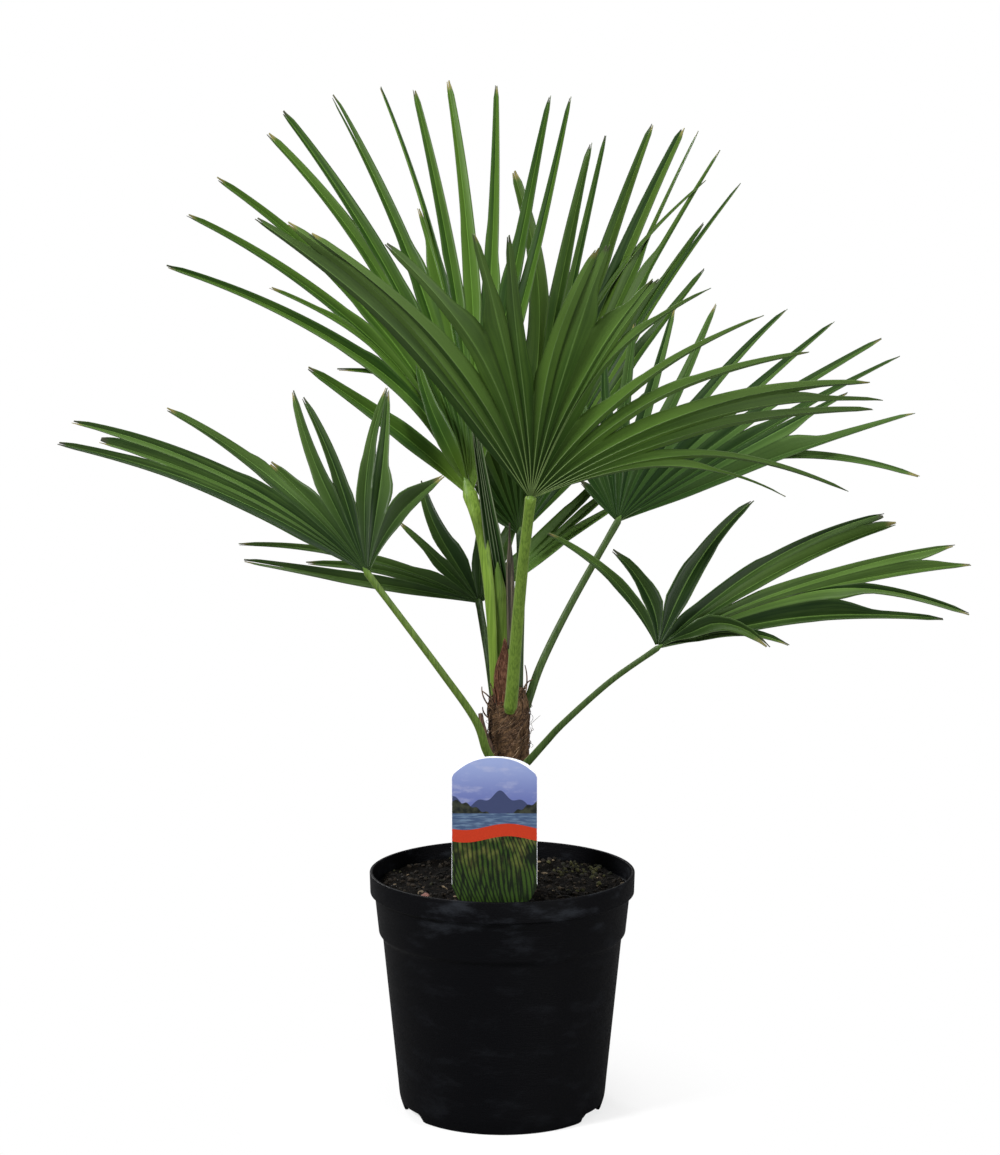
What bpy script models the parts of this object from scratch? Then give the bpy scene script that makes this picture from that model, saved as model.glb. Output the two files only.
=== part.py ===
"""A windmill palm in a nursery pot, as separate solids in metres, +Z up.

The origin is the middle of the pot's underside. +X is to the right of someone who looks at the
label, and +Y goes away from them. Each leaf is a petiole and a blade. A blade is a fan of V-shaped
segments that share their ridges near the hub and run free beyond it.
"""
import math
from typing import NamedTuple

import bmesh
import bpy
from mathutils import Matrix, Vector

# The pot, from the rim down: (radius, height) points outside, and from the floor up inside.
POT_HEIGHT = 0.173
RIM_RADIUS = 0.095
FOOT_RADIUS = 0.0715
FOOT_HEIGHT = 0.0075
WALL = 0.0018
POT_OUTSIDE = (
    (RIM_RADIUS - 0.0006, POT_HEIGHT), (RIM_RADIUS, POT_HEIGHT - 0.0008), (0.0945, 0.1580),
    (0.0914, 0.1568), (0.0884, 0.1293), (0.0858, 0.1258), (0.0754, 0.0220),
    (0.0745, 0.0110), (0.0729, 0.0040), (FOOT_RADIUS, 0),
)
POT_INSIDE = (
    (0.0640, FOOT_HEIGHT + WALL), (0.0710, 0.0145), (0.0737, 0.0240), (0.0841, 0.1265),
    (0.0867, 0.1303), (0.0896, 0.1580), (0.0927, 0.1605),
)
FOOT_WALL = 0.004
PAD_RADIUS = 0.014  # the flat pad in the middle of the underside
NOTCH_ANGLE = 54  # degrees from the front or the back to each notch of the foot
NOTCH_WIDTH = 0.018
NOTCH_DEPTH = 0.016
DRAIN_HOLES = 6
DRAIN_CIRCLE = 0.045
DRAIN_RADIUS = 0.005
SOIL_LEVEL = 0.161
SOIL_EASE = 0.0004  # from the soil to the pot's wall

# The trunk stands a little right of the pot's middle, with its lowest part in the soil.
TRUNK_X = 0.0045
TRUNK_RADIUS = 0.015
TRUNK_TOP = 0.305
TRUNK_FLARE = 0.0025  # how much wider the trunk is at the soil
TRUNK_TOE = 0.003  # and how much narrower at its lowest end
TRUNK_FOOT = 0.118

# The label stands in the soil just behind the front rim and leans back.
LABEL_WIDTH = 0.059
LABEL_TOP = 0.270
LABEL_THICKNESS = 0.0008
LABEL_ARCH = 0.012
LABEL_SPOT = (-0.0054, -0.0780)
LABEL_LEAN = math.radians(6)

SHEATH_THICKNESS = 0.0010
BLADE_THICKNESS = 0.0006
GAP = 0.0003  # clearance between pieces that touch
WELD = 0.00001
ROUND_STEPS = 48


class Segment(NamedTuple):
    """One finger of a fan. It leaves the hub at start and ends at tip, in degrees from +X in front view.

    forward is how far it stands in front of the fan.
    """

    start: float
    tip: float
    length: float
    forward: float = 0.0


class Leaf(NamedTuple):
    """One leaf. Its petiole runs through points, and its blade's hub lies just past the last one.

    lean is how far the blade goes back for each metre up. upper is True where the blade's upper side
    faces the front. palm is how far from the hub the segments stay joined at most.
    """

    petiole: tuple
    thick: tuple
    lean: float
    upper: bool
    palm: float
    half_width: float
    segments: tuple


def fan(*rows):
    return tuple(Segment(*row) for row in rows)


LEAVES = {
    "front": Leaf(
        petiole=((0.0050, -0.0150, 0.284), (0.0068, -0.0215, 0.304), (0.0095, -0.0370, 0.345),
                 (0.0130, -0.0590, 0.400), (0.0166, -0.0800, 0.454)),
        thick=(0.0056, 0.0038), lean=-0.55, upper=False, palm=0.100, half_width=0.0064,
        segments=fan((109, 133, 0.254), (105, 129, 0.240), (101, 126, 0.225), (97, 118, 0.190),
                  (93, 109, 0.180), (90, 101, 0.175), (86, 94, 0.176), (82, 84, 0.170),
                  (78, 73, 0.173), (73, 67, 0.170), (68, 60, 0.168), (63, 50, 0.180),
                  (57, 38, 0.196), (51, 29, 0.208), (45, 19, 0.241), (38, 16, 0.246),
                  (32, 13, 0.238), (26, 0, 0.219), (20, -4, 0.176)),
    ),
    "tall": Leaf(
        petiole=((-0.0030, -0.0040, 0.288), (-0.0042, -0.0035, 0.326), (-0.0062, -0.0035, 0.356),
                 (-0.0100, -0.0030, 0.385), (-0.0170, 0.0010, 0.419), (-0.0275, 0.0100, 0.447)),
        thick=(0.0046, 0.0040), lean=0.45, upper=True, palm=0.110, half_width=0.0050,
        segments=fan((139, 142, 0.137), (131, 111, 0.098, 0.010), (123, 143, 0.263), (119, 134, 0.197),
                  (115, 136, 0.279), (111, 130, 0.283), (107, 120, 0.291), (103, 116, 0.296),
                  (99, 109, 0.295), (96, 137, 0.123, 0.020), (93, 102, 0.292), (90, 97, 0.285),
                  (87, 92, 0.289), (83, 86, 0.287), (79, 77, 0.284), (75, 74, 0.287)),
    ),
    "rear": Leaf(
        petiole=((0.0110, 0.0070, 0.288), (0.0120, 0.0100, 0.330), (0.0140, 0.0200, 0.375),
                 (0.0160, 0.0340, 0.415), (0.0186, 0.0500, 0.456)),
        thick=(0.0042, 0.0034), lean=0.60, upper=True, palm=0.100, half_width=0.0052,
        segments=fan((88, 86, 0.190), (84, 79, 0.243), (80, 76, 0.248), (75, 70, 0.269),
                  (71, 65, 0.278), (67, 62, 0.280), (62, 58, 0.271), (56, 52, 0.258),
                  (51, 48, 0.222), (45, 43, 0.192)),
    ),
    "right": Leaf(
        petiole=((0.0125, -0.0010, 0.276), (0.0190, 0.0000, 0.300), (0.0268, 0.0040, 0.325),
                 (0.0482, 0.0120, 0.367), (0.0824, 0.0200, 0.425)),
        thick=(0.0044, 0.0034), lean=0.50, upper=True, palm=0.085, half_width=0.0050,
        segments=fan((138, 138, 0.035), (124, 123, 0.060), (110, 107, 0.090), (97, 94, 0.115),
                  (86, 80, 0.133), (77, 74, 0.156), (67, 65, 0.166), (59, 57, 0.180),
                  (52, 49, 0.193), (45, 41, 0.211), (39, 34, 0.228), (33, 30, 0.234),
                  (29, 10, 0.214, 0.012), (25, 20, 0.225), (19, 16, 0.190)),
    ),
    "low_right": Leaf(
        petiole=((0.0100, -0.0090, 0.248), (0.0175, -0.0180, 0.259), (0.0301, -0.0240, 0.278),
                 (0.0405, -0.0300, 0.289), (0.0750, -0.0400, 0.318), (0.1070, -0.0500, 0.342)),
        thick=(0.0046, 0.0032), lean=0.50, upper=True, palm=0.060, half_width=0.0060,
        segments=fan((108, 135, 0.107), (88, 116, 0.070), (66, 55, 0.122), (39, 31, 0.180),
                  (34, 27, 0.189), (30, 1, 0.090, 0.012), (26, 20, 0.217), (21, 15, 0.223),
                  (16, 8, 0.214), (11, 5, 0.196)),
    ),
    "left": Leaf(
        petiole=((-0.0010, -0.0100, 0.246), (-0.0108, -0.0200, 0.2635), (-0.0191, -0.0270, 0.2876),
                 (-0.0434, -0.0380, 0.3249), (-0.0932, -0.0500, 0.3947)),
        thick=(0.0046, 0.0034), lean=0.45, upper=True, palm=0.070, half_width=0.0058,
        segments=fan((151, 157, 0.231), (146, 154, 0.209), (140, 151, 0.229), (134, 142, 0.178),
                  (129, 138, 0.166), (120, 132, 0.101), (112, 115, 0.131), (106, 110, 0.126),
                  (92, 87, 0.127), (86, 82, 0.122), (78, 52, 0.083)),
    ),
    "inner_left": Leaf(
        petiole=((-0.0050, 0.0070, 0.288), (-0.0095, 0.0130, 0.322), (-0.0131, 0.0250, 0.342),
                 (-0.0168, 0.0400, 0.361)),
        thick=(0.0038, 0.0032), lean=0.50, upper=True, palm=0.050, half_width=0.0056,
        segments=fan((170, 172, 0.168), (165, 169, 0.171), (160, 166, 0.176), (151, 158, 0.127),
                  (137, 137, 0.080), (122, 117, 0.094), (104, 102, 0.085), (84, 82, 0.090),
                  (64, 62, 0.095), (49, 44, 0.112), (41, 35, 0.113)),
    ),
    "spear": Leaf(
        petiole=((0.0034, 0.0030, 0.288), (0.0036, 0.0025, 0.326), (0.0036, 0.0010, 0.360)),
        thick=(0.0043, 0.0036), lean=-0.06, upper=True, palm=0.150, half_width=0.0050,
        segments=fan((103, 96, 0.250), (99, 94, 0.266), (95, 92, 0.255), (91, 89, 0.304),
                  (88, 87, 0.260), (84, 85, 0.247)),
    ),
}

# How a blade is laid out, as distances from its hub.
ROOT = 0.0025  # its segments start here
LIFT_START = 0.010  # a forward segment leaves the fan here
LIFT_RUN = 0.025  # and stands its full way forward after this length
SHARED_STATIONS = 3
FREE_STATIONS = 3
SHARED_REACH = 0.55  # neighbours stay joined for this share of the shorter one at most
SPLIT_SPREAD = 2.4  # and split where they are this many half widths apart
CUP = 0.7  # a blade's sides curl toward its upper side by this much times the square of the width
PLEAT = 0.45  # how deep a V is, for its half width
TAPER_START = 0.45  # the share of its length where a segment starts to narrow
TAPER = 0.86  # and how much of its width it loses by its tip
EDGE_GAP = 0.0006  # from a free edge to the middle of the slit beside it
CLOSE_SPREAD = 0.06  # how fast a free edge may leave the midline inside the palm
CLOSE_SPREAD_FORWARD = 0.03
SEARCH_STEPS = 24


def new_collection(name):
    collection = bpy.data.collections.new(name)
    bpy.context.scene.collection.children.link(collection)
    return collection


def clear_scene():
    for thing in list(bpy.data.objects):
        bpy.data.objects.remove(thing)


def material(name, colour, roughness):
    made = bpy.data.materials.new(name)
    made.use_nodes = True
    shader = made.node_tree.nodes["Principled BSDF"]
    shader.inputs["Base Color"].default_value = (*colour, 1)
    shader.inputs["Roughness"].default_value = roughness
    shader.inputs["Metallic"].default_value = 0
    made.diffuse_color = (*colour, 1)
    return made


def add_object(name, data, collection, finish=None):
    thing = bpy.data.objects.new(name, data)
    collection.objects.link(thing)
    if finish:
        data.materials.append(finish)
    return thing


def mesh_of(name, shape):
    """Turn a bmesh into a mesh."""
    mesh = bpy.data.meshes.new(name)
    shape.to_mesh(mesh)
    shape.free()
    return mesh


def turned(name, profile, collection, finish=None, steps=ROUND_STEPS):
    """A solid of revolution about Z from (radius, height) points that run down its outer side."""
    data = bpy.data.meshes.new(name)
    points = [(radius, 0, height) for radius, height in profile]
    data.from_pydata(points, [(i, i + 1) for i in range(len(points) - 1)], [])
    thing = add_object(name, data, collection, finish)
    screw = thing.modifiers.new("Turn", "SCREW")
    screw.steps = screw.render_steps = steps
    screw.use_merge_vertices = True
    screw.merge_threshold = WELD
    screw.use_smooth_shade = True
    return thing


def cut(thing, cutter):
    """Take the cutter's shape out of a solid."""
    cutter.hide_render = True
    cutter.display_type = "WIRE"
    boolean = thing.modifiers.new("Cut " + cutter.name, "BOOLEAN")
    boolean.operation = "DIFFERENCE"
    boolean.object = cutter


def welded_cutter(guide, cutters):
    """Replace a curve by one closed mesh, which can cut."""
    bpy.context.view_layer.update()
    evaluated = guide.evaluated_get(bpy.context.evaluated_depsgraph_get())
    name, place = guide.name, guide.matrix_world.copy()
    shape = bmesh.new()
    shape.from_mesh(bpy.data.meshes.new_from_object(evaluated))
    bpy.data.objects.remove(guide)
    bmesh.ops.remove_doubles(shape, verts=shape.verts, dist=WELD)
    bmesh.ops.recalc_face_normals(shape, faces=shape.faces)
    cutter = add_object(name, mesh_of(name, shape), cutters)
    cutter.matrix_world = place
    return cutter


def tube_curve(name, points, radii):
    """A tapered round stem through the points, with filled caps."""
    curve = bpy.data.curves.new(name, "CURVE")
    curve.dimensions = "3D"
    curve.resolution_u = 4
    curve.bevel_depth = radii[0]
    curve.bevel_resolution = 2
    curve.use_fill_caps = True
    spline = curve.splines.new("BEZIER")
    spline.bezier_points.add(len(points) - 1)
    for index, (point, place) in enumerate(zip(spline.bezier_points, points)):
        share = index / (len(points) - 1)
        point.co = place
        point.handle_left_type = point.handle_right_type = "AUTO"
        point.radius = 1 + (radii[1] / radii[0] - 1) * share
    return curve


def tube_cutter(name, points, radii, cutters):
    """The same stem, larger by the clearance."""
    back = (Vector(points[0]) - Vector(points[1])).normalized() * GAP
    longer = (Vector(points[0]) + back, *points[1:])
    wider = tuple(radius + GAP for radius in radii)
    return welded_cutter(add_object(name, tube_curve(name, longer, wider), cutters), cutters)


def build_foot_notch(angle, cutters):
    """The block that takes one gap out of the pot's foot ring."""
    shape = bmesh.new()
    bmesh.ops.create_cube(shape, size=1)
    turn = Matrix.Rotation(math.radians(angle), 4, "Z")
    place = turn @ Matrix.Translation((0, -FOOT_RADIUS, FOOT_HEIGHT / 2 - 0.001))
    scale = Matrix.Diagonal((NOTCH_WIDTH, NOTCH_DEPTH, FOOT_HEIGHT + 0.001, 1))
    bmesh.ops.transform(shape, matrix=place @ scale, verts=shape.verts)
    name = "foot_notch_%d" % angle
    return add_object(name, mesh_of(name, shape), cutters)


def build_drain_hole(angle, cutters):
    shape = bmesh.new()
    bmesh.ops.create_cone(
        shape, cap_ends=True, segments=12, radius1=DRAIN_RADIUS, radius2=DRAIN_RADIUS, depth=0.02
    )
    x, y = DRAIN_CIRCLE * math.cos(angle), DRAIN_CIRCLE * math.sin(angle)
    bmesh.ops.translate(shape, vec=(x, y, FOOT_HEIGHT), verts=shape.verts)
    name = "drain_hole_%d" % round(math.degrees(angle))
    return add_object(name, mesh_of(name, shape), cutters)


def build_pot(parts, cutters):
    """An injection-moulded pot: a banded rim, a tapered wall, a raised floor and a foot ring."""
    inside = ((0, POT_INSIDE[0][1]), *POT_INSIDE, (RIM_RADIUS - WALL, POT_HEIGHT))
    under = (
        (FOOT_RADIUS - FOOT_WALL, 0), (FOOT_RADIUS - FOOT_WALL, FOOT_HEIGHT),
        (PAD_RADIUS, FOOT_HEIGHT), (PAD_RADIUS, 0), (0, 0),
    )
    finish = material("Black plastic", (0.012, 0.012, 0.014), 0.5)
    pot = turned("pot", inside + POT_OUTSIDE + under, parts, finish)
    for angle in (NOTCH_ANGLE, -NOTCH_ANGLE, 180 - NOTCH_ANGLE, NOTCH_ANGLE - 180):
        cut(pot, build_foot_notch(angle, cutters))
    for index in range(DRAIN_HOLES):
        cut(pot, build_drain_hole(2 * math.pi * index / DRAIN_HOLES, cutters))


def build_soil(parts):
    """Potting soil that fills the pot to just below its rim band, with a slightly low edge."""
    wall = [(radius - SOIL_EASE, height + GAP) for radius, height in reversed(POT_INSIDE)]
    profile = [(0, SOIL_LEVEL), *wall, (0, wall[-1][1])]
    return turned("soil", profile, parts, material("Potting soil", (0.030, 0.022, 0.016), 0.95))


def build_trunk(parts):
    """The fibre-wrapped stem. Its lowest part stands in the soil."""
    radius = TRUNK_RADIUS
    profile = (
        (0, TRUNK_TOP), (radius - 0.0015, TRUNK_TOP), (radius, TRUNK_TOP - 0.004),
        (radius, 0.255), (radius + 0.001, 0.200), (radius + TRUNK_FLARE, SOIL_LEVEL + 0.004),
        (radius + 0.001, TRUNK_FOOT + 0.01), (radius - TRUNK_TOE, TRUNK_FOOT), (0, TRUNK_FOOT),
    )
    finish = material("Trunk fibre", (0.120, 0.070, 0.040), 0.9)
    trunk = turned("trunk", profile, parts, finish, ROUND_STEPS // 2)
    trunk.location.x = TRUNK_X
    return trunk


def build_soil_pocket(cutters):
    """The hollow that the trunk's foot fills, larger than it by the clearance."""
    radius = TRUNK_RADIUS + GAP
    profile = (
        (0, SOIL_LEVEL + 0.01), (radius + TRUNK_FLARE, SOIL_LEVEL + 0.01),
        (radius + TRUNK_FLARE, SOIL_LEVEL - 0.001), (radius + 0.001, TRUNK_FOOT + 0.01),
        (radius - TRUNK_TOE, TRUNK_FOOT - GAP), (0, TRUNK_FOOT - GAP),
    )
    pocket = turned("trunk_pocket", profile, cutters, steps=ROUND_STEPS // 2)
    pocket.location.x = TRUNK_X
    return pocket


def label_outline(margin):
    """Half of the label's outline, from the top's middle round to the stake's point."""
    half = LABEL_WIDTH / 2 + margin
    top = LABEL_TOP + margin
    turns = [math.radians(a) for a in (0, 20, 40, 60, 80)]
    arch = [(0.92 * half * math.sin(a), top - LABEL_ARCH * (1 - math.cos(a))) for a in turns]
    lower = [(half, top - 0.016), (half, 0.182), (half - 0.004, 0.172), (half - 0.013, 0.163)]
    stake = [(0.008 + margin, 0.156), (0.006 + margin, 0.142), (0.001 + margin, 0.132 - margin)]
    return arch + lower + stake


def build_label(name, margin, collection, finish=None):
    """A flat plastic label whose lower end is a stake. The curve is drawn in X and Y, then stood up."""
    curve = bpy.data.curves.new(name, "CURVE")
    curve.dimensions = "2D"
    curve.fill_mode = "BOTH"
    curve.extrude = LABEL_THICKNESS / 2 + margin
    right = label_outline(margin)
    left = [(-x, z) for x, z in reversed(right) if x > 0]
    outline = right + left
    spline = curve.splines.new("POLY")
    spline.points.add(len(outline) - 1)
    for point, (x, z) in zip(spline.points, outline):
        point.co = (x, z - SOIL_LEVEL, 0, 1)
    spline.use_cyclic_u = True
    label = add_object(name, curve, collection, finish)
    label.rotation_euler.x = math.pi / 2 - LABEL_LEAN
    label.location = (*LABEL_SPOT, SOIL_LEVEL)
    return label


def build_crown_sheath(parts):
    """The torn triangle of fibre that stands up from the trunk's top, curved round the stems."""
    across = [math.radians(a) for a in (-52, -40, -28, -16, -4)]
    rows = ((TRUNK_TOP + GAP, 1.0), (0.318, 0.85), (0.331, 0.50), (0.343, 0.14))
    middle = sum(across) / len(across)
    radius = TRUNK_RADIUS - SHEATH_THICKNESS
    shape = bmesh.new()
    grid = []
    for height, spread in rows:
        angles = [middle + (a - middle) * spread for a in across]
        places = [(TRUNK_X + radius * math.sin(a), -radius * math.cos(a), height) for a in angles]
        grid.append([shape.verts.new(place) for place in places])
    for lower, upper in zip(grid, grid[1:]):
        for i in range(len(across) - 1):
            shape.faces.new((lower[i], lower[i + 1], upper[i + 1], upper[i]))
    finish = material("Sheath fibre", (0.230, 0.100, 0.060), 0.9)
    sheath = add_object("crown_sheath", mesh_of("crown_sheath", shape), parts, finish)
    shell = sheath.modifiers.new("Shell", "SOLIDIFY")
    shell.thickness = SHEATH_THICKNESS
    shell.offset = 0


def build_old_leaf_base(trunk, parts, cutters):
    """The brown stub of a leaf that was cut off, with its root in the trunk."""
    points = ((-0.0050, -0.0040, 0.262), (-0.0125, -0.0070, 0.276), (-0.0160, -0.0085, 0.290))
    radii = (0.0046, 0.0022)
    finish = material("Dry leaf base", (0.070, 0.045, 0.030), 0.85)
    add_object("old_leaf_base", tube_curve("old_leaf_base", points, radii), parts, finish)
    cut(trunk, tube_cutter("old_leaf_base_pocket", points, radii, cutters))


def direction(angle):
    return Vector((math.cos(math.radians(angle)), math.sin(math.radians(angle))))


def segment_centre(leaf, segment, distance):
    """A point on a segment's midline, from the hub. It is a quadratic curve from there to the tip.

    A segment that stands forward runs straight until it is clear of the fan, and then bends.
    """
    root = direction(segment.start)
    end = direction(segment.tip) * segment.length
    straight = LIFT_START + LIFT_RUN if segment.forward else 0
    base = root * straight
    if distance <= straight:
        x, z = root * distance
    else:
        share = (distance - straight) / (segment.length - straight)
        x, z = base + root * share * (1 - share) * (end - base).length + (end - base) * share * share
    lift = min(max(distance - LIFT_START, 0) / LIFT_RUN, 1)
    cup = CUP * x * x * (-1 if leaf.upper else 1)
    y = leaf.lean * z + cup - segment.forward * lift * lift * (3 - 2 * lift)
    return Vector((x, y, z))


def blade_normal(leaf):
    """The direction of the blade's upper side."""
    front = Vector((0, -1, leaf.lean)).normalized()
    return front if leaf.upper else -front


def blade_seat(leaf):
    """Where the hub goes, so that the blade's root sits just past the petiole's flat end."""
    end = Vector(leaf.petiole[-1])
    ahead = (end - Vector(leaf.petiole[-2])).normalized()
    reach = min(segment_centre(leaf, segment, ROOT).dot(ahead) for segment in leaf.segments)
    return end + ahead * (GAP + 0.8 * BLADE_THICKNESS - reach)


def shared_stations(leaf):
    """The distances from the hub at which neighbouring segments share a ridge."""
    step = (leaf.palm - LIFT_START) / (SHARED_STATIONS - 1)
    return [ROOT] + [LIFT_START + step * k for k in range(SHARED_STATIONS)]


def last_shared(leaf, left, right, stations):
    """How many of the shared stations a pair of neighbours reaches before it splits."""
    last = 1
    if left.forward or right.forward:
        return last
    reach = SHARED_REACH * min(left.length, right.length)
    for k, distance in enumerate(stations[2:], 2):
        spread = segment_centre(leaf, left, distance) - segment_centre(leaf, right, distance)
        if distance > reach or spread.length > SPLIT_SPREAD * leaf.half_width:
            break
        last = k
    return last


def segment_stations(segment, shared):
    """The distances from the hub of a segment's sections: the shared ones, then the free ones."""
    stations = list(shared)
    if segment.forward:
        stations += [LIFT_START + 0.35 * LIFT_RUN, LIFT_START + LIFT_RUN]
    first = stations[-1]
    step = (segment.length - first) / FREE_STATIONS
    return stations + [first + step * (k + 1) for k in range(FREE_STATIONS)]


def nearest_other(leaf, segment, centre):
    """How far a point is from the midlines of the other segments that lie in the fan."""
    others = [other for other in leaf.segments if other is not segment and not other.forward]
    return min(
        (segment_centre(leaf, other, other.length * k / SEARCH_STEPS) - centre).length
        for other in others for k in range(1, SEARCH_STEPS + 1)
    )


def edge_half_width(leaf, segment, distance, centre):
    """From the midline to a free edge. A segment tapers to its tip and leaves its neighbours room."""
    taper = max(0, (distance / segment.length - TAPER_START) / (1 - TAPER_START))
    half = leaf.half_width * (1 - TAPER * taper ** 1.5)
    spread = CLOSE_SPREAD_FORWARD if segment.forward else CLOSE_SPREAD
    if not segment.forward:
        half = min(half, max(nearest_other(leaf, segment, centre) / 2 - EDGE_GAP, EDGE_GAP))
    if distance < leaf.palm:
        half = min(half, distance * spread + 0.0002)
    return half


def edge_point(leaf, segment, distance, side):
    """A point on a free edge. side is -1 for the edge where the list of segments starts, else 1."""
    normal = blade_normal(leaf)
    centre = segment_centre(leaf, segment, distance)
    along = (segment_centre(leaf, segment, distance + 0.001) - centre).normalized()
    across = along.cross(normal).normalized() * (side if leaf.upper else -side)
    half = edge_half_width(leaf, segment, distance, centre)
    return centre + across * half + normal * PLEAT * half


def build_ridge(leaf, left, right, stations, shape):
    """The ridge that two neighbours share, raised toward the blade's upper side."""
    row = []
    for distance in stations:
        a = segment_centre(leaf, left, distance)
        b = segment_centre(leaf, right, distance)
        row.append(shape.verts.new((a + b) / 2 + blade_normal(leaf) * PLEAT * (a - b).length / 2))
    return row


def build_blade(name, leaf, parts, finish):
    """Loft the pleated fan: every segment is a strip of unlike sections, so its faces are made here."""
    stations = shared_stations(leaf)
    segments = leaf.segments
    shape = bmesh.new()
    ridges = [[]]
    for left, right in zip(segments, segments[1:]):
        shared = stations[:last_shared(leaf, left, right, stations) + 1]
        ridges.append(build_ridge(leaf, left, right, shared, shape))
    ridges.append([])

    for segment, ridge_before, ridge_after in zip(segments, ridges, ridges[1:]):
        joined = max(len(ridge_before), len(ridge_after))
        places = segment_stations(segment, stations[:joined])
        middle = [shape.verts.new(segment_centre(leaf, segment, distance)) for distance in places]
        before, after = [
            ridge + [
                shape.verts.new(edge_point(leaf, segment, distance, side))
                for distance in places[len(ridge):]
            ]
            for ridge, side in ((ridge_before, -1), (ridge_after, 1))
        ]
        for k in range(len(places) - 1):
            shape.faces.new((before[k], middle[k], middle[k + 1], before[k + 1]))
            shape.faces.new((middle[k], after[k], after[k + 1], middle[k + 1]))
    bmesh.ops.recalc_face_normals(shape, faces=shape.faces)
    blade = add_object(name, mesh_of(name, shape), parts, finish)
    blade.location = blade_seat(leaf)
    shell = blade.modifiers.new("Shell", "SOLIDIFY")
    shell.thickness = BLADE_THICKNESS
    shell.offset = 0


def build_leaf(name, leaf, trunk, parts, cutters):
    """A leaf's petiole, whose foot sits in the trunk, and its blade."""
    stem = "petiole_" + name
    stem_finish = material("Petiole " + name, (0.110, 0.240, 0.040), 0.45)
    add_object(stem, tube_curve(stem, leaf.petiole, leaf.thick), parts, stem_finish)
    cut(trunk, tube_cutter(stem + "_pocket", leaf.petiole, leaf.thick, cutters))
    build_blade("blade_" + name, leaf, parts, material("Blade " + name, (0.035, 0.110, 0.020), 0.45))


def build():
    clear_scene()
    parts = new_collection("potted_windmill_palm")
    cutters = new_collection("cutters")
    build_pot(parts, cutters)
    soil = build_soil(parts)
    trunk = build_trunk(parts)
    cut(soil, build_soil_pocket(cutters))
    cut(soil, welded_cutter(build_label("label_pocket", GAP, cutters), cutters))
    build_label("plant_label", 0, parts, material("Printed label", (0.300, 0.330, 0.620), 0.35))
    build_crown_sheath(parts)
    build_old_leaf_base(trunk, parts, cutters)
    for name, leaf in LEAVES.items():
        build_leaf(name, leaf, trunk, parts, cutters)


build()
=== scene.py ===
"""A young windmill palm in a nursery pot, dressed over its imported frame.

Sizes are in metres: +X right, +Y away from the viewer, +Z up from the middle of the pot's underside.
"""
import math
import random
from typing import NamedTuple

import bmesh
import bpy
from mathutils import Matrix, Vector, noise


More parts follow.
